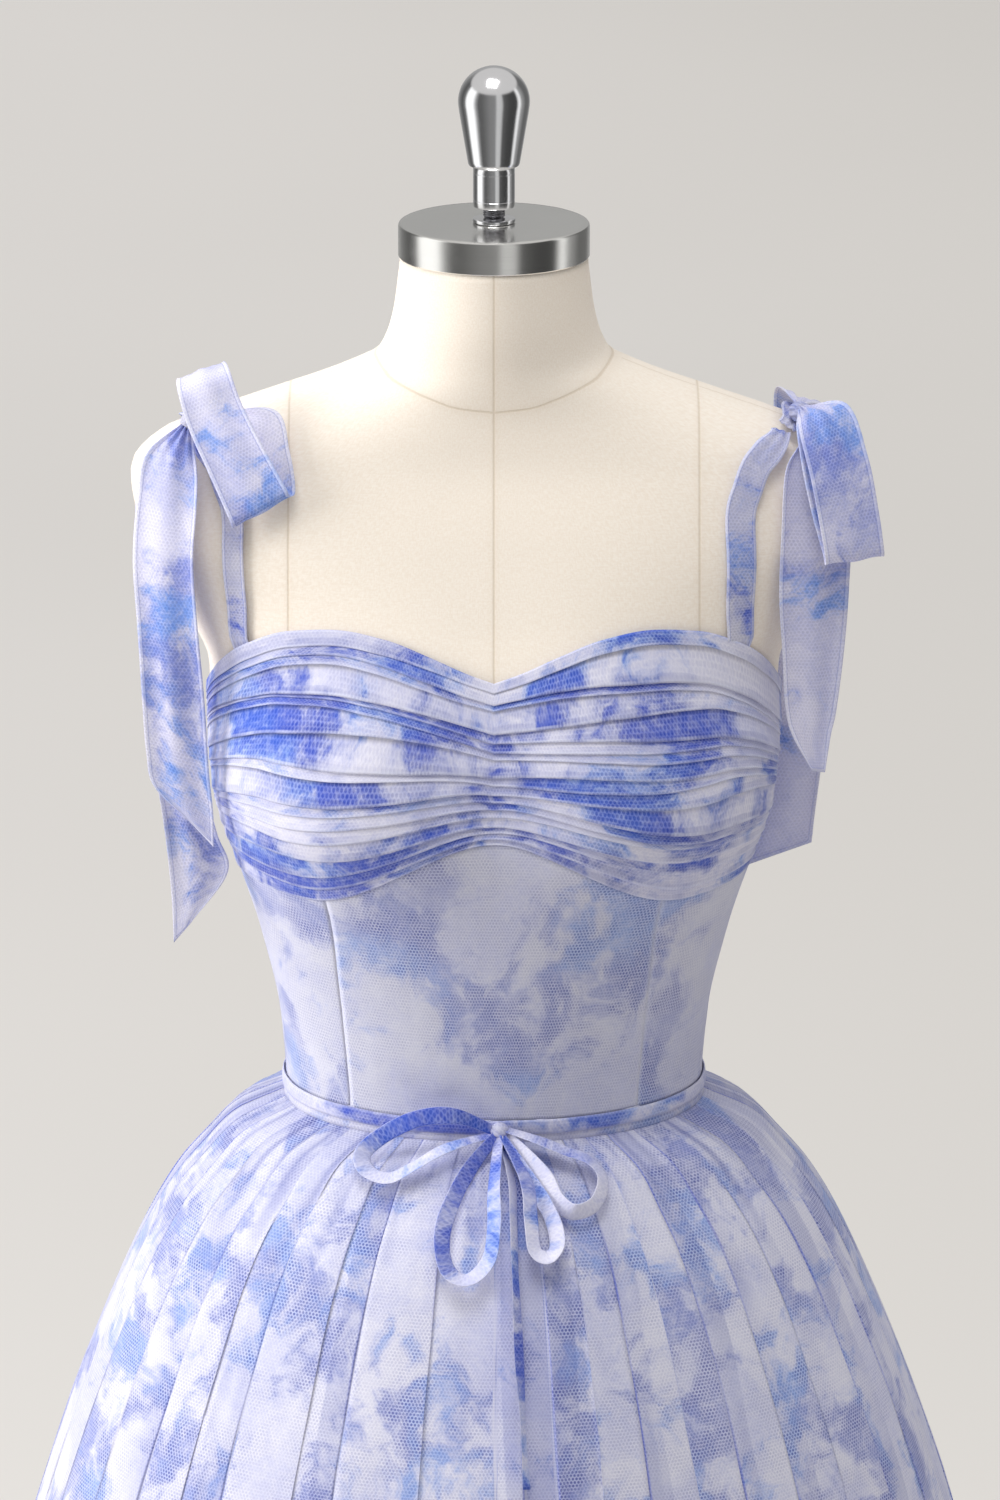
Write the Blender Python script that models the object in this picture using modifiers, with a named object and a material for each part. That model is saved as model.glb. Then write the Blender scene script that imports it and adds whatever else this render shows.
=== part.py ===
"""A homecoming dress on a limbless dress form with a round stand.

Metres, +Z up. The origin is the centre of the stand's underside, and the front faces -Y.
Tables are in centimetres, with heights measured from the waist. An angle goes round the
body from the centre front (0) to the wearer's left, +X, and on to the centre back (180 degrees).
"""

from collections import namedtuple
from math import atan2, cos, exp, pi, radians, sin

import bmesh
import bpy
import numpy as np
from mathutils import Matrix, Vector

CM = 0.01
WAIST_ABOVE_FLOOR = 104.0
COLLECTION = "homecoming_dress_on_form"
SHARP_ANGLE = radians(35)
MERGE_WITHIN = 1e-6
PATH_STEP = 0.01

# Cloth walls, clearances and seam gaps
SEAM_GAP = 0.03
BODICE_CLEARANCE = 0.14
BAND_GAP = 0.05
BODICE_WALL = 0.15
RIBBON_WALL = 0.12
SKIRT_WALL = 0.18

# The body under the cloth: half width, depth to the front and to the back, where the
# section's middle lies, and how square it is (2 is an ellipse)
Section = namedtuple("Section", "height half_width front back middle squareness")
BODY = (
    Section(-26.0, 13.6, 8.9, 9.6, 0.0, 2.20),
    Section(-20.0, 16.2, 10.3, 11.2, 0.0, 2.20),
    Section(-12.0, 15.6, 10.1, 10.8, 0.0, 2.20),
    Section(-5.0, 13.0, 9.0, 9.0, 0.0, 2.15),
    Section(0.0, 11.3, 8.2, 7.7, 0.0, 2.10),
    Section(4.0, 11.6, 8.7, 7.9, 0.0, 2.10),
    Section(9.0, 12.7, 9.6, 8.5, 0.0, 2.15),
    Section(13.0, 13.9, 10.1, 9.1, 0.0, 2.20),
    Section(17.0, 15.0, 10.5, 9.6, 0.0, 2.25),
    Section(20.0, 15.3, 10.5, 9.8, 0.0, 2.25),
    Section(24.0, 15.5, 10.0, 9.8, 0.0, 2.30),
    Section(28.0, 17.4, 8.9, 9.5, 0.2, 2.50),
    Section(32.0, 19.3, 7.7, 8.6, 0.3, 2.80),
    Section(34.5, 19.7, 6.8, 7.6, 0.3, 2.80),
    Section(36.1, 18.6, 6.2, 6.9, 0.2, 2.60),
    Section(37.4, 15.9, 5.9, 6.5, 0.1, 2.30),
    Section(38.7, 12.3, 5.7, 6.2, 0.0, 2.10),
    Section(40.0, 8.7, 5.6, 6.0, -0.2, 2.00),
    Section(41.2, 6.3, 5.5, 5.8, -0.4, 2.00),
    Section(43.4, 5.45, 5.3, 5.5, -0.8, 2.00),
    Section(46.3, 5.05, 5.05, 5.05, -1.0, 2.00),
)
CUP_HEIGHT = 17.5
CUP_RISE = 2.3
CUP_ANGLE = radians(38)
CUP_SPREAD = radians(29)
CUP_SPREAD_ABOVE = 6.5
CUP_SPREAD_BELOW = 4.4

# Form
FORM_COLUMNS = 36
FORM_HEIGHTS = (
    -26.0, -18.0, -9.0, -4.0, -1.8, -0.4, 1.3, 3.4, 6.4, 9.5, 12.5, 15.0, 17.5, 20.5, 23.4, 25.4,
    27.6, 30.5, 33.0, 34.8, 36.1, 37.2, 38.3, 39.4, 40.6, 42.2, 46.3,
)
NECK_MIDDLE = -1.0

# Bodice seams
EdgePoint = namedtuple("EdgePoint", "angle height")
TOP_EDGE = (
    EdgePoint(0, 25.2), EdgePoint(8, 25.65), EdgePoint(20, 26.5), EdgePoint(33, 27.35),
    EdgePoint(45, 27.75), EdgePoint(54, 27.55), EdgePoint(63, 26.6), EdgePoint(72, 25.1),
    EdgePoint(84, 23.0), EdgePoint(96, 21.7), EdgePoint(115, 20.7), EdgePoint(150, 20.1),
    EdgePoint(180, 20.0),
)
SIDE_SEAM = radians(84)
UNDERBUST_LOW_ANGLE = radians(52)
UNDERBUST_LOW = 12.85
UNDERBUST_RISE = 3.9
UNDERBUST_SIDE_RISE = 0.4
SeamPoint = namedtuple("SeamPoint", "height angle")
PRINCESS_SEAM = (
    SeamPoint(0.0, 51.5), SeamPoint(4.0, 50.8), SeamPoint(8.0, 48.8), SeamPoint(14.0, 44.5),
)

# Bust drape
TUCKS = 17
TUCK_DEPTH = 0.20
TUCK_FOLD = 0.84
BUST_COLUMNS = 30
BUST_LINING_POINTS = 8
BUST_WALL = 0.13
TUCK_FADE = radians(8)
TUCK_AT_SEAM = 0.35

# Bodice panels: how many faces each has round and up
MIDRIFF_FACES = (18, 5)
SIDE_FACES = (7, 5)
BACK_FACES = (12, 7)

# Waist
WAIST_DIP = 0.5
BAND_ABOVE = 0.6
BAND_BELOW = 0.75
BAND_COLUMNS = 48
TIE_WIDTH = 0.85
TIE_WALL = 0.13

# Skirt: how far the cloth stands out from the waist at each drop below the waistband
Flare = namedtuple("Flare", "drop growth")
SKIRT_FLARE = (
    Flare(0.0, 0.0), Flare(0.7, 1.41), Flare(1.7, 2.94), Flare(3.1, 4.22), Flare(5.1, 5.90),
    Flare(8.1, 7.65), Flare(12.1, 9.48), Flare(17.1, 11.49), Flare(23.1, 13.56),
    Flare(31.1, 15.9), Flare(44.5, 19.0),
)
SKIRT_ROWS = (0.0, 0.7, 2.0, 5.0, 12.0, 25.0, 44.2)
SKIRT_STAND_OFF = 0.58
FLARE_FRONT = 0.98
FLARE_BACK = 1.04
HEM_HEIGHT = -45.0
FRONT_GAP_ANGLE = radians(7.5)
FRONT_GAP_HALF = radians(2.7)
SIDE_PLEAT_END = radians(90)
PLEATS_FRONT_RIGHT = 11
PLEATS_FRONT_LEFT = 13
PLEATS_BACK = 12
PLEAT_DEPTH_WAIST = 0.22
PLEAT_DEPTH_HEM = 1.35
PLEAT_OPENING = 0.8
FOLD_EDGE = 0.07
FOLD_MIDDLE = 0.52
FOLD_MIDDLE_LEVEL = 0.60
GAP_LEVEL = -0.35
GAP_FOLD = 0.12
PANEL_GAP = radians(0.1)
UNEVEN_PITCH = 0.10
UNEVEN_DEPTH = 0.22
PITCH_WAVE = 2.4
DEPTH_WAVE = 3.9

# Straps: the path of each strap's middle over the shoulder, in degrees round the body
PathPoint = namedtuple("PathPoint", "angle height")
STRAP_FRONT_LEFT = (
    PathPoint(-64.6, 26.65), PathPoint(-64.3, 29.0), PathPoint(-65.0, 31.6), PathPoint(-67.4, 34.0),
    PathPoint(-72.5, 35.9), PathPoint(-79.3, 36.9),
)
STRAP_BACK_LEFT = (
    PathPoint(-118.0, 20.95), PathPoint(-117.5, 24.5), PathPoint(-116.5, 28.5),
    PathPoint(-115.0, 31.8), PathPoint(-111.5, 34.3), PathPoint(-105.0, 36.1),
    PathPoint(-97.0, 37.0), PathPoint(-89.0, 37.33), PathPoint(-81.0, 37.0),
)
STRAP_LEFT_WIDTH = 1.2
STRAP_RIGHT_WIDTH = 1.65
STRAP_RIGHT_TURN = 2.0
STRAP_LIFT = 0.05
STRAP_RISE_LEFT = 0.10
STRAP_RISE_RIGHT = 0.60
STRAP_RISE_FROM = 0.55

# Ribbons: the left and right edge of the cloth at each fold or bend, as (x, y, z)
Ribbon = namedtuple("Ribbon", "left right")
LEFT_FRONT_TAIL = (
    Ribbon((-17.3, -3.5, 37.9), (-16.5, -4.1, 37.3)),
    Ribbon((-18.6, -4.4, 36.5), (-15.9, -5.4, 35.9)),
    Ribbon((-19.1, -4.8, 34.4), (-15.9, -6.3, 33.9)),
    Ribbon((-19.4, -5.2, 31.0), (-16.1, -6.8, 31.0)),
    Ribbon((-19.2, -5.4, 27.3), (-15.9, -6.7, 27.3)),
    Ribbon((-19.0, -5.5, 23.4), (-15.6, -6.3, 23.2)),
    Ribbon((-18.8, -5.6, 20.2), (-15.4, -6.2, 19.2)),
    Ribbon((-18.4, -5.6, 18.2), (-15.2, -6.1, 16.8)),
    Ribbon((-16.4, -5.8, 16.2), (-15.2, -6.0, 14.9)),
)
LEFT_BACK_TAIL = (
    Ribbon((-17.6, -2.3, 37.3), (-16.9, -3.0, 36.9)),
    Ribbon((-18.9, -3.3, 35.2), (-17.0, -4.6, 34.8)),
    Ribbon((-19.3, -3.8, 32.0), (-17.1, -5.2, 31.8)),
    Ribbon((-19.0, -4.2, 28.0), (-17.0, -5.2, 28.0)),
    Ribbon((-18.8, -4.3, 24.0), (-16.3, -4.8, 24.0)),
    Ribbon((-18.4, -4.2, 19.0), (-15.9, -4.6, 19.0)),
    Ribbon((-17.9, -4.1, 15.0), (-15.1, -4.3, 15.2)),
    Ribbon((-17.6, -4.0, 11.6), (-14.5, -4.1, 12.9)),
    Ribbon((-17.5, -4.0, 8.8), (-16.5, -4.0, 10.0)),
)
LEFT_HANGING_LOOP = (
    Ribbon((-15.9, -4.2, 38.1), (-15.3, -3.9, 38.8)),
    Ribbon((-15.7, -5.5, 37.3), (-13.6, -4.6, 38.9)),
    Ribbon((-14.9, -6.8, 35.4), (-12.2, -6.1, 37.1)),
    Ribbon((-14.1, -7.5, 33.6), (-11.1, -7.1, 35.3)),
    Ribbon((-13.9, -7.2, 33.1), (-10.9, -6.8, 34.8)),
    Ribbon((-13.7, -6.7, 33.4), (-10.6, -6.5, 35.0)),
    Ribbon((-14.1, -6.3, 35.0), (-10.9, -5.8, 36.9)),
    Ribbon((-14.9, -5.1, 37.0), (-11.8, -4.3, 38.9)),
    Ribbon((-15.5, -3.2, 38.0), (-14.8, -2.6, 38.9)),
)
LEFT_STANDING_LOOP = (
    Ribbon((-16.6, -3.9, 38.6), (-15.9, -3.9, 39.0)),
    Ribbon((-16.9, -4.2, 39.3), (-14.5, -4.2, 40.3)),
    Ribbon((-16.8, -3.9, 40.0), (-14.3, -3.9, 41.0)),
    Ribbon((-16.8, -3.3, 40.1), (-14.3, -3.3, 41.1)),
    Ribbon((-16.8, -2.7, 39.7), (-14.5, -2.7, 40.6)),
    Ribbon((-16.5, -2.2, 38.6), (-15.8, -2.2, 38.9)),
)
RIGHT_HANGING_LOOP = (
    Ribbon((16.15, -3.5, 39.05), (16.7, -3.35, 39.15)),
    Ribbon((16.3, -5.3, 38.0), (18.9, -4.0, 39.1)),
    Ribbon((16.9, -6.8, 35.7), (20.0, -5.2, 36.5)),
    Ribbon((17.4, -7.3, 33.2), (20.6, -5.8, 33.6)),
    Ribbon((17.7, -7.4, 31.5), (20.9, -5.9, 31.6)),
    Ribbon((17.7, -6.9, 31.0), (20.9, -5.5, 31.1)),
    Ribbon((17.6, -6.4, 31.5), (20.8, -5.0, 31.6)),
    Ribbon((17.0, -6.2, 33.6), (20.2, -4.7, 34.0)),
    Ribbon((16.5, -5.7, 35.8), (19.6, -4.1, 36.5)),
    Ribbon((16.2, -4.6, 37.7), (18.3, -3.7, 38.4)),
    Ribbon((16.2, -3.6, 38.45), (16.75, -3.45, 38.55)),
)
RIGHT_FRONT_TAIL = (
    Ribbon((16.5, -3.5, 37.95), (17.15, -3.1, 37.9)),
    Ribbon((16.4, -4.6, 37.15), (17.9, -3.7, 36.9)),
    Ribbon((15.6, -5.6, 35.8), (18.3, -4.3, 35.6)),
    Ribbon((15.4, -6.1, 32.5), (19.1, -4.2, 32.0)),
    Ribbon((15.3, -6.4, 29.0), (19.1, -4.8, 29.0)),
    Ribbon((15.5, -6.3, 26.0), (18.9, -5.1, 26.0)),
    Ribbon((15.7, -6.1, 22.8), (18.5, -5.3, 22.5)),
    Ribbon((16.1, -6.0, 21.2), (18.2, -5.4, 21.0)),
    Ribbon((17.2, -5.7, 19.1), (17.9, -5.6, 19.0)),
)
RIGHT_BACK_TAIL = (
    Ribbon((16.1, -1.6, 38.9), (16.7, -1.8, 38.95)),
    Ribbon((15.4, 3.4, 38.2), (17.9, 1.4, 37.7)),
    Ribbon((15.4, 6.8, 35.7), (18.9, 4.2, 35.7)),
    Ribbon((15.6, 8.1, 32.0), (19.2, 5.4, 32.4)),
    Ribbon((15.6, 8.4, 28.0), (19.1, 5.6, 28.0)),
    Ribbon((15.2, 7.7, 23.0), (18.8, 5.1, 23.0)),
    Ribbon((14.7, 6.4, 18.0), (18.3, 4.2, 18.0)),
    Ribbon((14.1, 5.6, 13.0), (17.8, 3.6, 14.0)),
    Ribbon((13.6, 5.1, 10.2), (17.6, 3.2, 12.3)),
)
TAIL_RIPPLE = 0.10
LOOP_RIPPLE = 0.05
RIBBON_RIPPLES = 1.5
RIPPLE_FADE = 6
RIBBON_COLUMNS = 4

# Knots: where each sits on the body, in degrees and height, how far its ribbon lies off the
# body there, and its half sizes
Knot = namedtuple("Knot", "name angle height seat half_sizes")
SHOULDER_KNOT_LEFT = Knot(
    "shoulder_knot_left", -80.0, 36.95,
    BODICE_CLEARANCE + STRAP_LIFT + STRAP_RISE_LEFT + RIBBON_WALL, (0.72, 0.62, 0.62),
)
SHOULDER_KNOT_RIGHT = Knot(
    "shoulder_knot_right", 81.6, 37.05,
    BODICE_CLEARANCE + STRAP_LIFT + STRAP_RISE_RIGHT + RIBBON_WALL / 2, (0.62, 0.66, 0.55),
)
WAIST_KNOT = Knot(
    "waist_tie_knot", 2.0, -0.35,
    BODICE_CLEARANCE + BODICE_WALL + BAND_GAP + TIE_WALL, (0.50, 0.42, 0.50),
)
KNOT_GAP = 0.07
KNOT_FOLDS = 3
KNOT_FOLD_DEPTH = 0.10
KNOT_SLANT = 0.6

# The bow at the waist: the middle of each narrow ribbon, as (x, y, z)
Bend = namedtuple("Bend", "x y z")
WAIST_LOOP_LEFT = (
    Bend(-0.5, -9.20, -0.10), Bend(-2.0, -9.75, 0.75), Bend(-4.0, -9.6, 0.6),
    Bend(-5.8, -9.4, -0.3), Bend(-7.1, -9.8, -1.3), Bend(-6.9, -10.7, -2.0),
    Bend(-5.7, -11.4, -2.2), Bend(-4.3, -11.1, -1.6), Bend(-2.6, -10.4, -0.85),
    Bend(-0.5, -9.35, -0.62),
)
WAIST_LOOP_RIGHT = (
    Bend(1.1, -9.20, -0.12), Bend(2.4, -9.9, -0.55), Bend(3.9, -10.4, -1.0),
    Bend(5.2, -10.8, -1.4), Bend(5.9, -11.5, -2.2), Bend(5.5, -12.6, -3.2),
    Bend(4.3, -13.2, -3.5), Bend(3.3, -12.6, -2.9), Bend(2.5, -11.3, -1.8),
    Bend(1.05, -9.35, -0.68),
)
WAIST_HANGING_LEFT = (
    Bend(-0.1, -9.75, -0.75), Bend(-1.2, -10.9, -1.7), Bend(-2.2, -12.6, -3.0),
    Bend(-2.8, -14.2, -4.5), Bend(-2.5, -15.4, -6.0), Bend(-1.4, -15.9, -6.4),
    Bend(-0.3, -15.3, -5.5), Bend(0.0, -14.0, -4.0), Bend(0.0, -12.3, -2.4),
    Bend(0.15, -9.95, -0.95),
)
WAIST_HANGING_RIGHT = (
    Bend(0.75, -9.80, -0.65), Bend(1.75, -12.0, -2.2), Bend(2.0, -13.6, -3.8),
    Bend(2.2, -14.8, -5.1), Bend(2.9, -15.1, -5.4), Bend(3.4, -14.6, -4.9),
    Bend(3.2, -13.6, -3.9), Bend(2.4, -12.2, -2.8), Bend(0.52, -9.75, -0.98),
)
WAIST_TAIL = (
    Bend(0.32, -9.20, -1.20), Bend(0.95, -11.4, -2.3), Bend(1.05, -13.7, -3.9),
    Bend(1.15, -15.7, -6.2), Bend(1.3, -17.6, -9.0), Bend(1.5, -19.2, -12.5),
    Bend(1.75, -20.6, -16.6),
)
WAIST_RIBBON_WIDTH = 0.85
WAIST_RIBBON_END_WIDTH = 0.22
WAIST_RIBBON_TILT = radians(42)
TAIL_TILT = radians(60)
SKIRT_SLANT = 0.09
END_TAPER = 5

# Zip at the centre back
ZIP_TOP = 19.2
SLIDER_SIZE = (0.62, 0.26, 1.0)
EAR_SIZE = (0.12, 0.42, 0.34)
EAR_APART = 0.44
BAR_RADIUS = 0.07
BAR_STAND_OFF = 0.28
EYE_RADIUS = 0.20
EYE_BORE = 0.11
EYE_WIDTH = 0.24
PULL_SIZE = (0.5, 0.12, 1.9)
PULL_START = 0.33
JOIN_OVERLAP = 0.05
BORE_CUT_LENGTH = 1.0
ROD_SIDES = 16

# Stand and neck hardware: outlines as (radius, height), heights from the waist or the floor
Turn = namedtuple("Turn", "radius height")
CAP_BOTTOM = 46.33
CAP = (
    Turn(0.0, 48.23), Turn(5.0, 48.23), Turn(5.1, 48.18), Turn(5.13, 48.08),
    Turn(5.13, 46.75), Turn(5.21, 46.65), Turn(5.21, 46.38), Turn(5.16, CAP_BOTTOM),
    Turn(0.0, CAP_BOTTOM),
)
WASHER = (Turn(0.0, 48.6), Turn(1.05, 48.6), Turn(1.15, 48.5), Turn(1.15, 48.26), Turn(0.0, 48.26))
STUD = (Turn(0.0, 50.3), Turn(0.52, 50.3), Turn(0.6, 50.2), Turn(0.6, 48.63), Turn(0.0, 48.63))
KNOB_BORE = Turn(0.64, 50.36)
KNOB = (
    Turn(0.0, 56.69), Turn(0.62, 56.58), Turn(1.2, 56.2), Turn(1.62, 55.65), Turn(1.85, 54.95),
    Turn(1.86, 54.4), Turn(1.78, 53.6), Turn(1.36, 51.3), Turn(1.30, 51.19), Turn(1.13, 51.15),
    Turn(1.13, 49.04), Turn(1.05, 48.94), Turn(KNOB_BORE.radius, 48.94),
    KNOB_BORE, Turn(0.0, KNOB_BORE.height),
)
POLE_RADIUS = 1.25
POLE_FOOT = 1.0
BASE_RADIUS = 18.0
HUB_RADIUS = 2.6
HUB_HEIGHT = 4.5
TURN_STEPS = 26


class Curve:
    """A table's columns as smooth curves of its first column, which never overshoot a row."""

    def __init__(self, rows):
        names = rows[0]._fields
        self.keys = np.array([getattr(row, names[0]) for row in rows], float)
        gaps = np.diff(self.keys)
        self.columns = {}
        for name in names[1:]:
            values = np.array([getattr(row, name) for row in rows], float)
            steps = np.diff(values) / gaps
            slopes = np.concatenate([steps[:1], steps[1:], steps[-1:]])
            for i in range(1, len(values) - 1):
                before, after = steps[i - 1], steps[i]
                level = before * after <= 0
                slopes[i] = 0.0 if level else 2 * before * after / (before + after)
            self.columns[name] = (values, slopes)

    def at(self, name, key):
        values, slopes = self.columns[name]
        key = min(max(key, self.keys[0]), self.keys[-1])
        i = min(max(int(np.searchsorted(self.keys, key)) - 1, 0), len(self.keys) - 2)
        gap = self.keys[i + 1] - self.keys[i]
        t = (key - self.keys[i]) / gap
        start = values[i] * (1 + 2 * t) + gap * slopes[i] * t
        end = values[i + 1] * (3 - 2 * t) - gap * slopes[i + 1] * (1 - t)
        return float(start * (1 - t) ** 2 + end * t * t)


BODY_CURVE = Curve(BODY)
TOP_EDGE_CURVE = Curve(TOP_EDGE)
PRINCESS_CURVE = Curve(PRINCESS_SEAM)
FLARE_CURVE = Curve(SKIRT_FLARE)


def metres(x, y, z):
    """A point in centimetres from the waist, as metres from the floor."""
    return Vector((x * CM, y * CM, (z + WAIST_ABOVE_FLOOR) * CM))


def mix(a, b, t):
    return a + (b - a) * t


def smooth_path(points, t):
    """A point at t, 0 to 1, on a smooth curve through evenly counted points."""
    spans = len(points) - 1
    i = min(int(t * spans), spans - 1)
    s = t * spans - i
    b, c = points[i], points[i + 1]
    a = points[i - 1] if i else b * 2 - c
    d = points[i + 2] if i + 2 <= spans else c * 2 - b
    bend = (a * 2 - b * 5 + c * 4 - d) * (s * s) + (b * 3 - a - c * 3 + d) * (s * s * s)
    return b + ((c - a) * s + bend) * 0.5


# The body's surface


def body_radius(angle, height):
    depth = BODY_CURVE.at("front" if cos(angle) > 0 else "back", height)
    power = BODY_CURVE.at("squareness", height)
    across = abs(sin(angle)) / BODY_CURVE.at("half_width", height)
    along = abs(cos(angle)) / depth
    spread = CUP_SPREAD_ABOVE if height > CUP_HEIGHT else CUP_SPREAD_BELOW
    rise = CUP_RISE * exp(-(((height - CUP_HEIGHT) / spread) ** 2))
    cups = sum(exp(-(((angle - side * CUP_ANGLE) / CUP_SPREAD) ** 2)) for side in (-1, 1))
    return (across**power + along**power) ** (-1 / power) + rise * cups


def body_point(angle, height, off=0.0):
    """A point on the body, or off it in the level direction, in metres."""
    radius = body_radius(angle, height) + off
    middle = BODY_CURVE.at("middle", height)
    return metres(radius * sin(angle), middle - radius * cos(angle), height)


def body_normal(angle, height):
    turn, lift = 0.01, 0.1
    around = body_point(angle + turn, height) - body_point(angle - turn, height)
    up = body_point(angle, height + lift) - body_point(angle, height - lift)
    return around.cross(up).normalized()


def on_body(angle, height, off):
    """A point off the body, square to its surface."""
    return body_point(angle, height) + body_normal(angle, height) * off * CM


def top_edge(angle):
    return TOP_EDGE_CURVE.at("height", abs(angle) * 180 / pi)


def underbust(angle):
    turn = abs(angle) / UNDERBUST_LOW_ANGLE
    if turn < 1:
        return UNDERBUST_LOW + UNDERBUST_RISE * (0.5 + 0.5 * cos(pi * turn))
    side = (abs(angle) - UNDERBUST_LOW_ANGLE) / (SIDE_SEAM - UNDERBUST_LOW_ANGLE)
    return UNDERBUST_LOW + UNDERBUST_SIDE_RISE * side * side


def princess_angle(height):
    return radians(PRINCESS_CURVE.at("angle", height))


def waist_height(angle):
    return -WAIST_DIP * (0.5 + 0.5 * cos(angle))


def gap_angle(angle, height):
    """The turn that makes half a seam's gap at this place."""
    return 0.5 * SEAM_GAP / body_radius(angle, height)


# Scene


def clear_scene():
    for item in list(bpy.data.objects):
        bpy.data.objects.remove(item, do_unlink=True)


def new_collection(name):
    collection = bpy.data.collections.new(name)
    bpy.context.scene.collection.children.link(collection)
    return collection


def finish(name, colour, roughness, metallic=0.0):
    material = bpy.data.materials.new(name)
    material.use_nodes = True
    shader = material.node_tree.nodes["Principled BSDF"]
    shader.inputs["Base Color"].default_value = (*colour, 1.0)
    shader.inputs["Roughness"].default_value = roughness
    shader.inputs["Metallic"].default_value = metallic
    return material


def add_object(name, mesh, material, collection, parent=None):
    data = bpy.data.meshes.new(name)
    mesh.to_mesh(data)
    mesh.free()
    data.materials.append(material)
    data.shade_smooth()
    data.set_sharp_from_angle(angle=SHARP_ANGLE)
    item = bpy.data.objects.new(name, data)
    collection.objects.link(item)
    item.parent = parent
    return item


def placed_grid(columns, rows, place):
    """A grid whose points go to place(column, row), counted from 0."""
    mesh = bmesh.new()
    bmesh.ops.create_grid(mesh, x_segments=columns, y_segments=rows, size=0.5)
    for vertex in mesh.verts:
        column = round((vertex.co.x + 0.5) * columns)
        row = round((vertex.co.y + 0.5) * rows)
        vertex.co = place(column, row)
    return mesh


def add_wall(item, thickness, offset):
    """Gives a sheet its wall: offset 1 is outwards, 0 is both ways and -1 is inwards."""
    solidify = item.modifiers.new("wall", "SOLIDIFY")
    solidify.thickness = thickness * CM
    solidify.offset = offset
    return item


def cloth(name, columns, rows, place, wall, material, offset=1.0, ring=False):
    """A cloth panel: columns go round the body or across a ribbon, rows go up or along it."""
    mesh = placed_grid(columns, rows, place)
    if ring:
        bmesh.ops.remove_doubles(mesh, verts=mesh.verts, dist=MERGE_WITHIN)
    item = add_object(name, mesh, material, DRESS)
    return add_wall(item, wall, offset)


def closed_loft(name, around, stations, place, material):
    """A closed tube of rings, place(point, station), with both ends filled."""
    mesh = placed_grid(around, stations, place)
    bmesh.ops.remove_doubles(mesh, verts=mesh.verts, dist=MERGE_WITHIN)
    ends = [edge for edge in mesh.edges if edge.is_boundary]
    bmesh.ops.holes_fill(mesh, edges=ends, sides=0)
    bmesh.ops.recalc_face_normals(mesh, faces=mesh.faces)
    return add_object(name, mesh, material, DRESS)


def turned(name, outline, material, middle, base, parent=None):
    """A turned piece round a vertical axis: the outline runs down its outer side."""
    mesh = bmesh.new()
    points = [mesh.verts.new((turn.radius * CM, 0, (turn.height + base) * CM)) for turn in outline]
    for upper, lower in zip(points, points[1:]):
        mesh.edges.new((upper, lower))
    item = add_object(name, mesh, material, DRESS, parent)
    item.location.y = middle * CM
    screw = item.modifiers.new("turn", "SCREW")
    screw.steps = TURN_STEPS
    screw.render_steps = TURN_STEPS
    screw.use_merge_vertices = True
    screw.merge_threshold = 0.0001
    return item


# Bodice


def make_bust_drape(material):
    """Horizontal tucks raised in the outer points of a wall, over a plain inside."""
    outside = 2 * TUCKS + 1
    around = outside + BUST_LINING_POINTS
    side = SIDE_SEAM - gap_angle(SIDE_SEAM, 20)

    def place(point, station):
        angle = mix(-side, side, station / BUST_COLUMNS)
        low = underbust(angle) + SEAM_GAP / 2
        high = top_edge(angle)
        point %= around
        if point >= outside:
            share = 1 - (point - outside) / (BUST_LINING_POINTS - 1)
            return on_body(angle, mix(low, high, share), BODICE_CLEARANCE)
        tuck = (point + 1) // 2
        folded = point % 2 == 1
        share = (tuck - (1 - TUCK_FOLD) if folded else tuck) / TUCKS
        fade = min(1.0, (side - abs(angle)) / TUCK_FADE)
        depth = TUCK_DEPTH * mix(TUCK_AT_SEAM, 1.0, fade) if folded else 0.0
        wall = BUST_WALL + depth
        return on_body(angle, mix(low, high, share), BODICE_CLEARANCE + wall)

    return closed_loft("bust_drape", around, BUST_COLUMNS, place, material)


def bodice_panel(name, start, end, low, high, faces, material):
    """A plain panel between two seams, start(height) and end(height), and two edges."""
    columns, rows = faces

    def place(column, row):
        across, up = column / columns, row / rows
        middle = mix(low(start(0)), high(start(0)), up)
        for _ in range(4):
            angle = mix(start(middle), end(middle), across)
            middle = mix(low(angle), high(angle), up)
        return on_body(angle, middle, BODICE_CLEARANCE)

    return cloth(name, columns, rows, place, BODICE_WALL, material)


def make_bodice(material):
    def bottom(angle):
        return waist_height(angle) + BAND_ABOVE + BAND_GAP

    def under(angle):
        return underbust(angle) - SEAM_GAP / 2

    def princess(side, inward):
        def seam(height):
            angle = princess_angle(height)
            return side * (angle + inward * gap_angle(angle, height))
        return seam

    def fixed(angle, inward):
        return lambda height: angle + inward * gap_angle(angle, height)

    make_bust_drape(material)
    for name, start, end, high, faces in (
        ("midriff_front", princess(-1, -1), princess(1, -1), under, MIDRIFF_FACES),
        ("side_front_left", fixed(-SIDE_SEAM, 1), princess(-1, 1), under, SIDE_FACES),
        ("side_front_right", princess(1, 1), fixed(SIDE_SEAM, -1), under, SIDE_FACES),
        ("bodice_back_left", fixed(-pi, 1), fixed(-SIDE_SEAM, -1), top_edge, BACK_FACES),
        ("bodice_back_right", fixed(SIDE_SEAM, 1), fixed(pi, -1), top_edge, BACK_FACES),
    ):
        bodice_panel(name, start, end, bottom, high, faces, material)


# Waist


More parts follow.
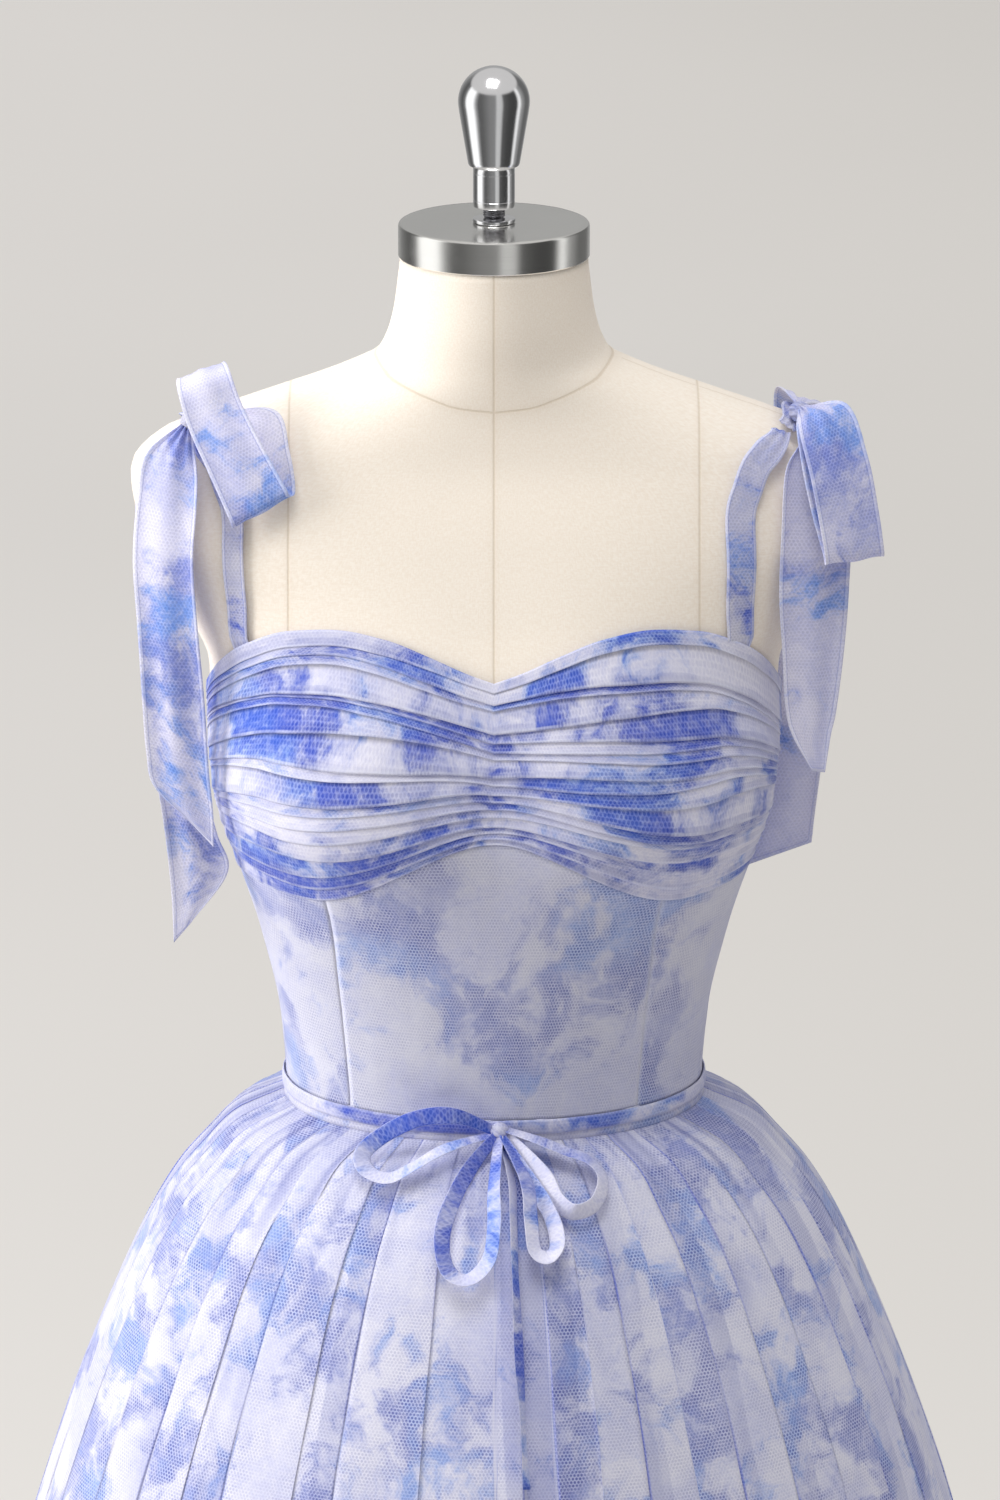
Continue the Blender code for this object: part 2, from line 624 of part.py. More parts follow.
def make_waist(material):
    def band(low, high, off):
        def place(column, row):
            angle = mix(-pi, pi, (column % BAND_COLUMNS) / BAND_COLUMNS)
            height = waist_height(angle) + mix(low, high, row)
            return on_body(angle, height, off)
        return place

    cloth(
        "waistband", BAND_COLUMNS, 1, band(-BAND_BELOW, BAND_ABOVE, BODICE_CLEARANCE),
        BODICE_WALL, material, ring=True,
    )
    off = BODICE_CLEARANCE + BODICE_WALL + BAND_GAP
    cloth(
        "waist_tie", BAND_COLUMNS, 1, band(BAND_ABOVE - TIE_WIDTH, BAND_ABOVE, off),
        TIE_WALL, material, ring=True,
    )


def knot_middle(knot):
    """A knot rests on the ribbon under it, with a seam's gap."""
    angle = radians(knot.angle)
    normal = body_normal(angle, knot.height)
    reach = sum((size * part) ** 2 for size, part in zip(knot.half_sizes, normal)) ** 0.5
    return on_body(angle, knot.height, knot.seat + SEAM_GAP + reach)


def at_knot(knot, point):
    """The place on the knot's surface that faces a point, where a ribbon comes out of it."""
    middle = knot_middle(knot)
    way = (point - middle) / CM
    share = Vector([part / size for part, size in zip(way, knot.half_sizes)]).length
    return middle + way * (1 / share + KNOT_GAP / way.length) * CM


def waist_ribbon(name, bends, tilt, material, loose_end=False):
    """A narrow ribbon along a path, its face turned by the tilt from the skirt's surface."""
    points = [metres(*bend) for bend in bends]
    points[0] = at_knot(WAIST_KNOT, points[0])
    if not loose_end:
        points[-1] = at_knot(WAIST_KNOT, points[-1])
    rows = 3 * (len(bends) - 1)

    def place(column, row):
        t = row / rows
        here = smooth_path(points, t)
        along = smooth_path(points, min(t + PATH_STEP, 1))
        along -= smooth_path(points, max(t - PATH_STEP, 0))
        out = Vector((here.x, here.y, SKIRT_SLANT)).normalized()
        flat = along.cross(out).normalized()
        across = flat * cos(tilt) + out * sin(tilt)
        open_end = 1.0 if loose_end and t > 0.5 else END_TAPER * (1 - t)
        share = min(1.0, END_TAPER * t, open_end)
        width = mix(WAIST_RIBBON_END_WIDTH, WAIST_RIBBON_WIDTH, share)
        return here + across * (column - 0.5) * width * CM

    return cloth(name, 1, rows, place, RIBBON_WALL, material, offset=0.0)


def make_waist_bow(material):
    waist_ribbon("waist_loop_left", WAIST_LOOP_LEFT, WAIST_RIBBON_TILT, material)
    waist_ribbon("waist_loop_right", WAIST_LOOP_RIGHT, WAIST_RIBBON_TILT, material)
    waist_ribbon("waist_hanging_loop_left", WAIST_HANGING_LEFT, WAIST_RIBBON_TILT, material)
    waist_ribbon("waist_hanging_loop_right", WAIST_HANGING_RIGHT, WAIST_RIBBON_TILT, material)
    waist_ribbon("waist_tie_tail", WAIST_TAIL, TAIL_TILT, material, loose_end=True)


# Shoulders


def make_strap(name, path, width, turn, rise, material):
    """A strap on the body: path angles are turned by a few degrees to suit the strap's side."""
    side = 1 if path[0].angle > 0 else -1
    points = [Vector((radians(p.angle - side * turn), p.height, 0)) for p in path]
    rows = 2 * (len(path) - 1)

    def place(column, row):
        t = row / rows
        up = max(0.0, (t - STRAP_RISE_FROM) / (1 - STRAP_RISE_FROM))
        off = BODICE_CLEARANCE + STRAP_LIFT + rise * up * up * (3 - 2 * up)
        here = smooth_path(points, t)
        after = smooth_path(points, min(t + PATH_STEP, 1))
        before = smooth_path(points, max(t - PATH_STEP, 0))
        along = on_body(after.x, after.y, off) - on_body(before.x, before.y, off)
        normal = body_normal(here.x, here.y)
        across = along.cross(normal).normalized()
        point = on_body(here.x, here.y, off) + across * (column / 2 - 0.5) * width * CM
        if row:
            return point
        angle = atan2(point.x, BODY_CURVE.at("middle", here.y) * CM - point.y)
        return on_body(angle, top_edge(angle) + SEAM_GAP, off)

    return cloth(name, 2, rows, place, RIBBON_WALL, material)


def mirrored(path):
    return tuple(PathPoint(-point.angle, point.height) for point in path)


def wide_ribbon(name, ribbon_rows, knot, material, loop=False):
    """A wide ribbon between two edges from a knot, with soft lengthwise folds."""
    ripple = LOOP_RIPPLE if loop else TAIL_RIPPLE
    left = [metres(*row.left) for row in ribbon_rows]
    right = [metres(*row.right) for row in ribbon_rows]
    for edge in (left, right):
        edge[0] = at_knot(knot, edge[0])
        if loop:
            edge[-1] = at_knot(knot, edge[-1])
    rows = 2 * (len(ribbon_rows) - 1)

    def place(column, row):
        t, across = row / rows, column / RIBBON_COLUMNS
        a, b = smooth_path(left, t), smooth_path(right, t)
        along = smooth_path(left, min(t + PATH_STEP, 1))
        along -= smooth_path(left, max(t - PATH_STEP, 0))
        normal = (b - a).cross(along).normalized()
        fade = min(1.0, RIPPLE_FADE * t, RIPPLE_FADE * (1 - t))
        fold = sin(2 * pi * RIBBON_RIPPLES * across) * fade
        return a.lerp(b, across) + normal * ripple * fold * CM

    return cloth(name, RIBBON_COLUMNS, rows, place, RIBBON_WALL, material, offset=0.0)


def make_knot(knot, material):
    """A small knot: a ball drawn out to its sizes, with shallow folds round it."""
    mesh = bmesh.new()
    bmesh.ops.create_uvsphere(mesh, u_segments=10, v_segments=7, radius=1.0)
    for vertex in mesh.verts:
        point = vertex.co.copy()
        turn = KNOT_FOLDS * pi * (point.z + point.x * KNOT_SLANT)
        fold = 1 - KNOT_FOLD_DEPTH * (0.5 - 0.5 * cos(turn))
        vertex.co = knot_middle(knot) + point * Vector(knot.half_sizes) * fold * CM
    return add_object(knot.name, mesh, material, DRESS)


def make_shoulders(material):
    left_width, left_rise = STRAP_LEFT_WIDTH, STRAP_RISE_LEFT
    make_strap("strap_front_left", STRAP_FRONT_LEFT, left_width, 0, left_rise, material)
    make_strap("strap_back_left", STRAP_BACK_LEFT, left_width, 0, left_rise, material)
    front, back = mirrored(STRAP_FRONT_LEFT), mirrored(STRAP_BACK_LEFT)
    width, turn, rise = STRAP_RIGHT_WIDTH, STRAP_RIGHT_TURN, STRAP_RISE_RIGHT
    make_strap("strap_front_right", front, width, turn, rise, material)
    make_strap("strap_back_right", back, width, turn, rise, material)
    left, right = SHOULDER_KNOT_LEFT, SHOULDER_KNOT_RIGHT
    wide_ribbon("bow_left_standing_loop", LEFT_STANDING_LOOP, left, material, loop=True)
    wide_ribbon("bow_left_hanging_loop", LEFT_HANGING_LOOP, left, material, loop=True)
    wide_ribbon("bow_left_front_tail", LEFT_FRONT_TAIL, left, material)
    wide_ribbon("bow_left_back_tail", LEFT_BACK_TAIL, left, material)
    wide_ribbon("bow_right_hanging_loop", RIGHT_HANGING_LOOP, right, material, loop=True)
    wide_ribbon("bow_right_front_tail", RIGHT_FRONT_TAIL, right, material)
    wide_ribbon("bow_right_back_tail", RIGHT_BACK_TAIL, right, material)
    for knot in (left, right, WAIST_KNOT):
        make_knot(knot, material)


# Skirt

FoldPoint = namedtuple("FoldPoint", "angle level depth")


def pleat_folds(start, end, count):
    """Fold points of knife pleats whose edges face the start: a valley, the edge and the slope."""
    folds = []
    for i in range(count):
        uneven = UNEVEN_PITCH * sin(PITCH_WAVE * i + 1.0)
        following = UNEVEN_PITCH * sin(PITCH_WAVE * (i + 1) + 1.0) if i + 1 < count else 0.0
        first = mix(start, end, (i + (uneven if i else 0.0)) / count)
        last = mix(start, end, (i + 1 + following) / count)
        depth = 1 + UNEVEN_DEPTH * sin(DEPTH_WAVE * i + 0.5)
        folds.append(FoldPoint(first, 0.0, depth))
        folds.append(FoldPoint(mix(first, last, FOLD_EDGE), 1.0, depth))
        folds.append(FoldPoint(mix(first, last, FOLD_MIDDLE), FOLD_MIDDLE_LEVEL, depth))
    return folds


def skirt_point(fold, drop):
    """The skirt's outer surface at a fold point, this far below the waistband."""
    top = waist_height(fold.angle) - BAND_BELOW - SEAM_GAP
    whole = SKIRT_ROWS[-1]
    height = mix(top, HEM_HEIGHT, drop / whole)
    stretch = mix(FLARE_BACK, FLARE_FRONT, 0.5 + 0.5 * cos(fold.angle))
    growth = FLARE_CURVE.at("growth", drop) * stretch
    fullness = drop / whole
    depth = mix(PLEAT_DEPTH_WAIST, PLEAT_DEPTH_HEM, fullness**PLEAT_OPENING) * fold.depth
    off = SKIRT_STAND_OFF + growth - depth * (1 - fold.level)
    return body_point(fold.angle, 0.0, off) + Vector((0, 0, height * CM))


def make_skirt_panel(name, folds, material):
    def place(column, row):
        return skirt_point(folds[column], SKIRT_ROWS[-1 - row])

    return cloth(name, len(folds) - 1, len(SKIRT_ROWS) - 1, place, SKIRT_WALL, material, offset=-1.0)


def make_skirt(material):
    gap = PANEL_GAP
    right = FRONT_GAP_ANGLE + FRONT_GAP_HALF
    left = FRONT_GAP_ANGLE - FRONT_GAP_HALF
    side = SIDE_PLEAT_END
    side_valley = [FoldPoint(side - gap, 0.0, 1.0)]
    left_folds = pleat_folds(left, -side + gap, PLEATS_FRONT_LEFT)
    right_folds = pleat_folds(right, side - gap, PLEATS_FRONT_RIGHT)
    inner = [
        FoldPoint(mix(left, right, GAP_FOLD), GAP_LEVEL, 1.0),
        FoldPoint(mix(left, right, 1 - GAP_FOLD), GAP_LEVEL, 1.0),
    ]
    front = [FoldPoint(-side + gap, 0.0, 1.0)] + left_folds[::-1] + inner + right_folds + side_valley
    make_skirt_panel("skirt_front", front, material)
    back_right = pleat_folds(side + gap, pi - gap, PLEATS_BACK) + [FoldPoint(pi - gap, 0.0, 1.0)]
    back_left = [FoldPoint(-fold.angle, fold.level, fold.depth) for fold in reversed(back_right)]
    make_skirt_panel("skirt_back_right", back_right, material)
    make_skirt_panel("skirt_back_left", back_left, material)


# Zip


def add_box(name, size, middle, material, collection):
    mesh = bmesh.new()
    bmesh.ops.create_cube(mesh, size=1.0)
    bmesh.ops.scale(mesh, vec=[side * CM for side in size], verts=mesh.verts)
    bmesh.ops.translate(mesh, vec=metres(*middle), verts=mesh.verts)
    return add_object(name, mesh, material, collection)


def add_rod(name, radius, length, middle, material, collection):
    """A rod along X."""
    mesh = bmesh.new()
    bmesh.ops.create_cone(
        mesh, cap_ends=True, segments=ROD_SIDES, radius1=radius * CM, radius2=radius * CM,
        depth=length * CM,
    )
    bmesh.ops.rotate(mesh, matrix=Matrix.Rotation(pi / 2, 3, "Y"), verts=mesh.verts)
    bmesh.ops.translate(mesh, vec=metres(*middle), verts=mesh.verts)
    return add_object(name, mesh, material, collection)


def combine(item, tool, operation):
    tool.hide_render = True
    tool.display_type = "WIRE"
    boolean = item.modifiers.new(operation.lower(), "BOOLEAN")
    boolean.operation = operation
    boolean.object = tool


def make_zip(material):
    cloth_off = BODICE_CLEARANCE + BODICE_WALL + SEAM_GAP
    width, depth, height = SLIDER_SIZE
    seat = max(body_radius(pi, ZIP_TOP + end * height / 2) for end in (-1, 1)) + cloth_off
    middle_y = seat + depth / 2
    slider = add_box("zip_slider", SLIDER_SIZE, (0, middle_y, ZIP_TOP), material, DRESS)
    bar_y = seat + depth + BAR_STAND_OFF
    for side in (-1, 1):
        ear_x = side * EAR_APART / 2
        ear_y = seat + depth + EAR_SIZE[1] / 2 - JOIN_OVERLAP
        ear = add_box(f"ear_{side}", EAR_SIZE, (ear_x, ear_y, ZIP_TOP), material, CUTTERS)
        combine(slider, ear, "UNION")
    bar = add_rod("bar", BAR_RADIUS, EAR_APART, (0, bar_y, ZIP_TOP), material, CUTTERS)
    combine(slider, bar, "UNION")
    eye_place = (0, bar_y, ZIP_TOP)
    pull = add_rod("zip_pull", EYE_RADIUS, EYE_WIDTH, eye_place, material, DRESS)
    neck_length = PULL_START + JOIN_OVERLAP - EYE_BORE
    neck_size = (EYE_WIDTH, PULL_SIZE[1], neck_length)
    neck_middle = (0, bar_y, ZIP_TOP - EYE_BORE - neck_length / 2)
    combine(pull, add_box("pull_neck", neck_size, neck_middle, material, CUTTERS), "UNION")
    plate_middle = (0, bar_y, ZIP_TOP - PULL_START - PULL_SIZE[2] / 2)
    combine(pull, add_box("pull_plate", PULL_SIZE, plate_middle, material, CUTTERS), "UNION")
    bore = add_rod("pull_bore", EYE_BORE, BORE_CUT_LENGTH, eye_place, material, CUTTERS)
    combine(pull, bore, "DIFFERENCE")


# Dress form


def make_form(material):
    rings = len(FORM_HEIGHTS)

    def place(column, row):
        angle = mix(-pi, pi, (column % FORM_COLUMNS) / FORM_COLUMNS)
        return body_point(angle, FORM_HEIGHTS[row])

    closed_loft("form_torso", FORM_COLUMNS, rings - 1, place, material)


def make_stand(steel, chrome):
    waist = WAIST_ABOVE_FLOOR
    turned("neck_cap", CAP, steel, NECK_MIDDLE, waist)
    turned("neck_washer", WASHER, chrome, NECK_MIDDLE, waist)
    turned("neck_stud", STUD, chrome, NECK_MIDDLE, waist)
    turned("neck_knob", KNOB, chrome, NECK_MIDDLE, waist)
    pole_top = FORM_HEIGHTS[0] + waist - SEAM_GAP
    pole = (
        Turn(0.0, pole_top), Turn(POLE_RADIUS, pole_top), Turn(POLE_RADIUS, POLE_FOOT),
        Turn(0.0, POLE_FOOT),
    )
    turned("stand_pole", pole, chrome, 0, 0)
    socket = POLE_RADIUS + SEAM_GAP
    socket_floor = POLE_FOOT - SEAM_GAP
    base = (
        Turn(0.0, socket_floor), Turn(socket, socket_floor), Turn(socket, HUB_HEIGHT),
        Turn(HUB_RADIUS - 0.2, HUB_HEIGHT), Turn(HUB_RADIUS, HUB_HEIGHT - 0.2),
        Turn(HUB_RADIUS + 0.3, 2.2), Turn(HUB_RADIUS + 1.4, 1.6), Turn(BASE_RADIUS - 1.0, 1.2),
        Turn(BASE_RADIUS - 0.2, 0.95), Turn(BASE_RADIUS, 0.6), Turn(BASE_RADIUS, 0.15),
        Turn(BASE_RADIUS - 0.15, 0.0), Turn(0.0, 0.0),
    )
    turned("stand_base", base, steel, 0, 0)


clear_scene()
DRESS = new_collection(COLLECTION)
CUTTERS = new_collection("cutters")
PRINTED_TULLE = finish("printed_tulle", (0.55, 0.60, 0.86), 0.7)
ZIP_METAL = finish("zip_metal", (0.72, 0.72, 0.80), 0.35, 0.8)
FORM_CLOTH = finish("form_cloth", (0.86, 0.80, 0.70), 0.85)
BRUSHED_STEEL = finish("brushed_steel", (0.62, 0.61, 0.59), 0.32, 1.0)
CHROME = finish("polished_chrome", (0.80, 0.80, 0.81), 0.12, 1.0)
make_form(FORM_CLOTH)
make_stand(BRUSHED_STEEL, CHROME)
make_bodice(PRINTED_TULLE)
make_waist(PRINTED_TULLE)
make_waist_bow(PRINTED_TULLE)
make_shoulders(PRINTED_TULLE)
make_skirt(PRINTED_TULLE)
make_zip(ZIP_METAL)
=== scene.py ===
from bisect import bisect_right
from functools import lru_cache
from math import atan2, cos, exp, pi, radians, sin

import bmesh
import bpy
from mathutils import Matrix, Vector, noise


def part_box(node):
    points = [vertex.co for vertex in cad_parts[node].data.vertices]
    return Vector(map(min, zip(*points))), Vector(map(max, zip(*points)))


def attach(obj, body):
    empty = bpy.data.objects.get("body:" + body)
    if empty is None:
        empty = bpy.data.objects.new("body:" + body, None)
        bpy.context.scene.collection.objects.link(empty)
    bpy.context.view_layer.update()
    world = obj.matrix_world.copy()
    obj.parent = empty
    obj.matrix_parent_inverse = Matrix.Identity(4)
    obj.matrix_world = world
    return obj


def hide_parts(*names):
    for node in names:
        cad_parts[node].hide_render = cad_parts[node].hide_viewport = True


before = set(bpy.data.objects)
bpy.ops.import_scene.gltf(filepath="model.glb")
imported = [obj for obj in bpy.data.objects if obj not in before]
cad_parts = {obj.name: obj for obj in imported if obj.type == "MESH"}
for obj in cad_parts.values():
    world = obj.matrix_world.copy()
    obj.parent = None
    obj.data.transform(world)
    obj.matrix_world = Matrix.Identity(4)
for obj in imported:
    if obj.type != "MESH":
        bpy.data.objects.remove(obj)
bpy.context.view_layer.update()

mainBody = "dress_and_form"
cm = 0.01

# Lengths below are centimetres measured from the waist unless a note says otherwise
waist = {"aboveFloor": 104.0, "dip": 0.5, "bandAbove": 0.6, "bandBelow": 0.75, "tieWidth": 0.85}
layers = {"bodice": 0.14, "wall": 0.15, "seam": 0.03}  # how far the cloth lies off the form
clothWall, ribbonWall = 0.05, 0.06


def mix(a, b, t):
    return a + (b - a) * t


def smoothStep(low, high, value):
    t = min(max((value - low) / (high - low), 0.0), 1.0)
    return t * t * (3 - 2 * t)


def wobble(x, y=0.0, z=0.0):
    return noise.noise(Vector((x, y, z)))


def ringAngle(column, columns):
    return mix(-pi, pi, (column % columns) / columns)


def metres(x, y, z):
    return Vector((x * cm, y * cm, (z + waist["aboveFloor"]) * cm))


def smoothTable(rows):
    keys = [row[0] for row in rows]
    columns = []
    for c in range(1, len(rows[0])):
        values = [row[c] for row in rows]
        steps = [(values[i + 1] - values[i]) / (keys[i + 1] - keys[i]) for i in range(len(keys) - 1)]
        slopes = [steps[0]]
        for before, after in zip(steps, steps[1:]):
            slopes.append(0.0 if before * after <= 0 else 2 * before * after / (before + after))
        slopes.append(steps[-1])
        columns.append((values, slopes))

    @lru_cache(maxsize=20000)
    def at(key):
        key = min(max(key, keys[0]), keys[-1])
        i = min(max(bisect_right(keys, key) - 1, 0), len(keys) - 2)
        gap = keys[i + 1] - keys[i]
        t = (key - keys[i]) / gap
        found = []
        for values, slopes in columns:
            start = values[i] * (1 + 2 * t) + gap * slopes[i] * t
            end = values[i + 1] * (3 - 2 * t) - gap * slopes[i + 1] * (1 - t)
            found.append(start * (1 - t) ** 2 + end * t * t)
        return tuple(found)
    return at


def alongPath(points, t):
    spans = len(points) - 1
    i = min(int(t * spans), spans - 1)
    s = t * spans - i
    b, c = points[i], points[i + 1]
    a = points[i - 1] if i else b * 2 - c
    d = points[i + 2] if i + 2 <= spans else c * 2 - b
    bend = (a * 2 - b * 5 + c * 4 - d) * (s * s) + (b * 3 - a - c * 3 + d) * (s * s * s)
    return b + ((c - a) * s + bend) * 0.5


def pathWay(points, t):
    return alongPath(points, min(t + 0.01, 1)) - alongPath(points, max(t - 0.01, 0))


formSizes = {
    # height, half width, depth in front, depth behind, middle, squareness
    "sections": (
        (-26.0, 13.6, 8.9, 9.6, 0.0, 2.20), (-20.0, 16.2, 10.3, 11.2, 0.0, 2.20),
        (-12.0, 15.6, 10.1, 10.8, 0.0, 2.20), (-5.0, 13.0, 9.0, 9.0, 0.0, 2.15),
        (0.0, 11.3, 8.2, 7.7, 0.0, 2.10), (4.0, 11.6, 8.7, 7.9, 0.0, 2.10),
        (9.0, 12.7, 9.6, 8.5, 0.0, 2.15), (13.0, 13.9, 10.1, 9.1, 0.0, 2.20),
        (17.0, 15.0, 10.5, 9.6, 0.0, 2.25), (20.0, 15.3, 10.5, 9.8, 0.0, 2.25),
        (24.0, 15.5, 10.0, 9.8, 0.0, 2.30), (28.0, 17.4, 8.9, 9.5, 0.2, 2.50),
        (32.0, 19.3, 7.7, 8.6, 0.3, 2.80), (34.5, 19.7, 6.8, 7.6, 0.3, 2.80),
        (36.1, 18.6, 6.2, 6.9, 0.2, 2.60), (37.4, 15.9, 5.9, 6.5, 0.1, 2.30),
        (38.7, 12.3, 5.7, 6.2, 0.0, 2.10), (40.0, 8.7, 5.6, 6.0, -0.2, 2.00),
        (41.2, 6.3, 5.5, 5.8, -0.4, 2.00), (43.4, 5.45, 5.3, 5.5, -0.8, 2.00),
        (46.3, 5.05, 5.05, 5.05, -1.0, 2.00),
    ),
    "cupHeight": 17.5, "cupRise": 2.3, "cupAngle": radians(38), "cupSpread": radians(29),
    "columns": 96, "rows": 150, "low": -26.0, "high": 46.58,
    "princessSeam": 11.0,  # how far the princess seams stand from the centre on the chest
    "neckSeam": ((0.0, 39.04), (19.0, 39.25), (34.0, 39.75), (50.0, 40.35), (80.0, 41.1), (180.0, 41.4)),
}
sectionAt = smoothTable(formSizes["sections"])
neckSeamAt = smoothTable(formSizes["neckSeam"])


def bodyRadius(angle, height):
    halfWidth, front, back, _, power = sectionAt(height)
    depth = front if cos(angle) > 0 else back
    reach = (abs(sin(angle) / halfWidth) ** power + abs(cos(angle) / depth) ** power) ** (-1 / power)
    spread = 6.5 if height > formSizes["cupHeight"] else 4.4
    rise = formSizes["cupRise"] * exp(-(((height - formSizes["cupHeight"]) / spread) ** 2))
    if rise > 0.001:
        for side in (-1, 1):
            turn = (angle - side * formSizes["cupAngle"]) / formSizes["cupSpread"]
            reach += rise * exp(-turn * turn)
    return reach


def bodyPoint(angle, height, off=0.0):
    radius = bodyRadius(angle, height) + off
    return metres(radius * sin(angle), sectionAt(height)[3] - radius * cos(angle), height)


def bodyNormal(angle, height):
    around = bodyPoint(angle + 0.01, height) - bodyPoint(angle - 0.01, height)
    up = bodyPoint(angle, height + 0.1) - bodyPoint(angle, height - 0.1)
    return around.cross(up).normalized()


def onBody(angle, height, off):
    return bodyPoint(angle, height) + bodyNormal(angle, height) * off * cm


def waistHeight(angle):
    return -waist["dip"] * (0.5 + 0.5 * cos(angle))


collection = bpy.context.scene.collection


def finishPiece(name, mesh, material, replaced=(), body=mainBody):
    data = bpy.data.meshes.new(name)
    mesh.to_mesh(data)
    mesh.free()
    data.materials.append(material)
    data.shade_smooth()
    piece = bpy.data.objects.new(name, data)
    collection.objects.link(piece)
    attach(piece, body)
    if replaced:
        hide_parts(*replaced)
    return piece


def clothGrid(columns, rows, place, clothPlace, values=None, ring=False):
    mesh = bmesh.new()
    bmesh.ops.create_grid(mesh, x_segments=columns, y_segments=rows, size=0.5)
    uv = mesh.loops.layers.uv.new("cloth")
    layersMade = {}
    spots = {}
    for vertex in mesh.verts:
        spots[vertex.index] = (round((vertex.co.x + 0.5) * columns), round((vertex.co.y + 0.5) * rows))
    mesh.verts.index_update()
    for key in (values or {}):
        layersMade[key] = mesh.verts.layers.float.new(key)
    for vertex in mesh.verts:
        column, row = spots[vertex.index]
        vertex.co = place(column, row)
        for key, layer in layersMade.items():
            vertex[layer] = values[key](column, row)
    for face in mesh.faces:
        for loop in face.loops:
            u, v = clothPlace(*spots[loop.vert.index])
            loop[uv].uv = (u * cm, v * cm)
    if ring:
        bmesh.ops.remove_doubles(mesh, verts=mesh.verts, dist=1e-6)
    bmesh.ops.recalc_face_normals(mesh, faces=mesh.faces)
    return mesh


def faceOut(mesh):
    # an open sheet round the form: its normals have to point away from the form's axis
    middles = [(face, face.calc_center_median()) for face in mesh.faces]
    if sum(face.normal.dot(Vector((middle.x, middle.y, 0))) for face, middle in middles) < 0:
        bmesh.ops.reverse_faces(mesh, faces=mesh.faces)


def closeEnds(mesh):
    bmesh.ops.holes_fill(mesh, edges=[edge for edge in mesh.edges if edge.is_boundary], sides=0)
    bmesh.ops.recalc_face_normals(mesh, faces=mesh.faces)


def addWall(piece, thickness, offset=-1.0):
    wall = piece.modifiers.new("wall", "SOLIDIFY")
    wall.thickness = thickness * cm
    wall.offset = offset


def turnedMesh(outline, middleY=0.0, steps=72, base=0.0):
    mesh = bmesh.new()
    points = [mesh.verts.new((radius * cm, middleY * cm, (height + base) * cm)) for radius, height in outline]
    edges = [mesh.edges.new(pair) for pair in zip(points, points[1:])]
    bmesh.ops.spin(
        mesh, geom=points + edges, cent=(0, middleY * cm, 0), axis=(0, 0, 1), angle=2 * pi, steps=steps,
        use_merge=True,
    )
    bmesh.ops.remove_doubles(mesh, verts=mesh.verts, dist=1e-6)
    bmesh.ops.recalc_face_normals(mesh, faces=mesh.faces)
    return mesh


def sharpen(piece, degrees=32):
    piece.data.set_sharp_from_angle(angle=radians(degrees))


def addNode(tree, kind, inputs=None, **settings):
    made = tree.nodes.new("ShaderNode" + kind)
    for name, value in settings.items():
        setattr(made, name, value)
    for key, value in (inputs or {}).items():
        if isinstance(value, bpy.types.NodeSocket):
            tree.links.new(value, made.inputs[key])
        else:
            made.inputs[key].default_value = value
    return made


def maths(tree, operation, *values, clamp=False):
    made = addNode(tree, "Math", dict(enumerate(values)), operation=operation)
    made.use_clamp = clamp
    return made.outputs[0]


def times(tree, a, b):
    return maths(tree, "MULTIPLY", a, b)


def timesPlus(tree, a, b, c, clamp=False):
    return maths(tree, "MULTIPLY_ADD", a, b, c, clamp=clamp)


def attributeOf(tree, name):
    return addNode(tree, "Attribute", attribute_name=name).outputs["Fac"]


def vectorMaths(tree, operation, *values, output=0):
    return addNode(tree, "VectorMath", dict(enumerate(values)), operation=operation).outputs[output]


def scaled(tree, vector, scale):
    return addNode(tree, "VectorMath", {0: vector, "Scale": scale}, operation="SCALE").outputs[0]


def colourMix(tree, share, a, b, blend="MIX"):
    made = addNode(tree, "Mix", {0: share, 6: a, 7: b}, data_type="RGBA", blend_type=blend)
    return made.outputs[2]


def ramp(tree, value, low, high, toLow=0.0, toHigh=1.0):
    made = addNode(
        tree, "MapRange", {0: value, 1: low, 2: high, 3: toLow, 4: toHigh}, interpolation_type="SMOOTHSTEP"
    )
    return made.outputs[0]


def noiseOf(tree, vector, scale, detail=3.0, roughness=0.5, distortion=0.0, output="Fac"):
    made = addNode(tree, "TexNoise", {
        "Vector": vector, "Scale": scale, "Detail": detail, "Roughness": roughness, "Distortion": distortion,
    })
    return made.outputs[output]


def rgb(red, green, blue):
    def linear(part):
        part /= 255
        return part / 12.92 if part <= 0.04045 else ((part + 0.055) / 1.055) ** 2.4
    return (linear(red), linear(green), linear(blue), 1.0)


def newGroup(name, ins, outs):
    group = bpy.data.node_groups.new(name, "ShaderNodeTree")
    for title, kind, value in ins:
        socket = group.interface.new_socket(title, in_out="INPUT", socket_type="NodeSocket" + kind)
        if value is not None:
            socket.default_value = value
    for title, kind in outs:
        group.interface.new_socket(title, in_out="OUTPUT", socket_type="NodeSocket" + kind)
    return group, group.nodes.new("NodeGroupInput").outputs, group.nodes.new("NodeGroupOutput").inputs


def useGroup(tree, group, inputs):
    return addNode(tree, "Group", inputs, node_tree=group).outputs


def newMaterial(name):
    material = bpy.data.materials.new(name)
    material.use_nodes = True
    tree = material.node_tree
    return material, tree, tree.nodes["Principled BSDF"]


def setShader(shader, **values):
    for key, value in values.items():
        shader.inputs[key.replace("_", " ")].default_value = value


print("stage: shader groups")

# Cloudy print: soft washes of lavender, periwinkle and sky blue on white, with deeper blue where they pool
printColours = {
    "white": rgb(229, 228, 241), "grey": rgb(212, 213, 224), "lavender": rgb(202, 204, 230),
    "periwinkle": rgb(154, 163, 213), "sky": rgb(150, 176, 230), "deep": rgb(64, 90, 198),
}


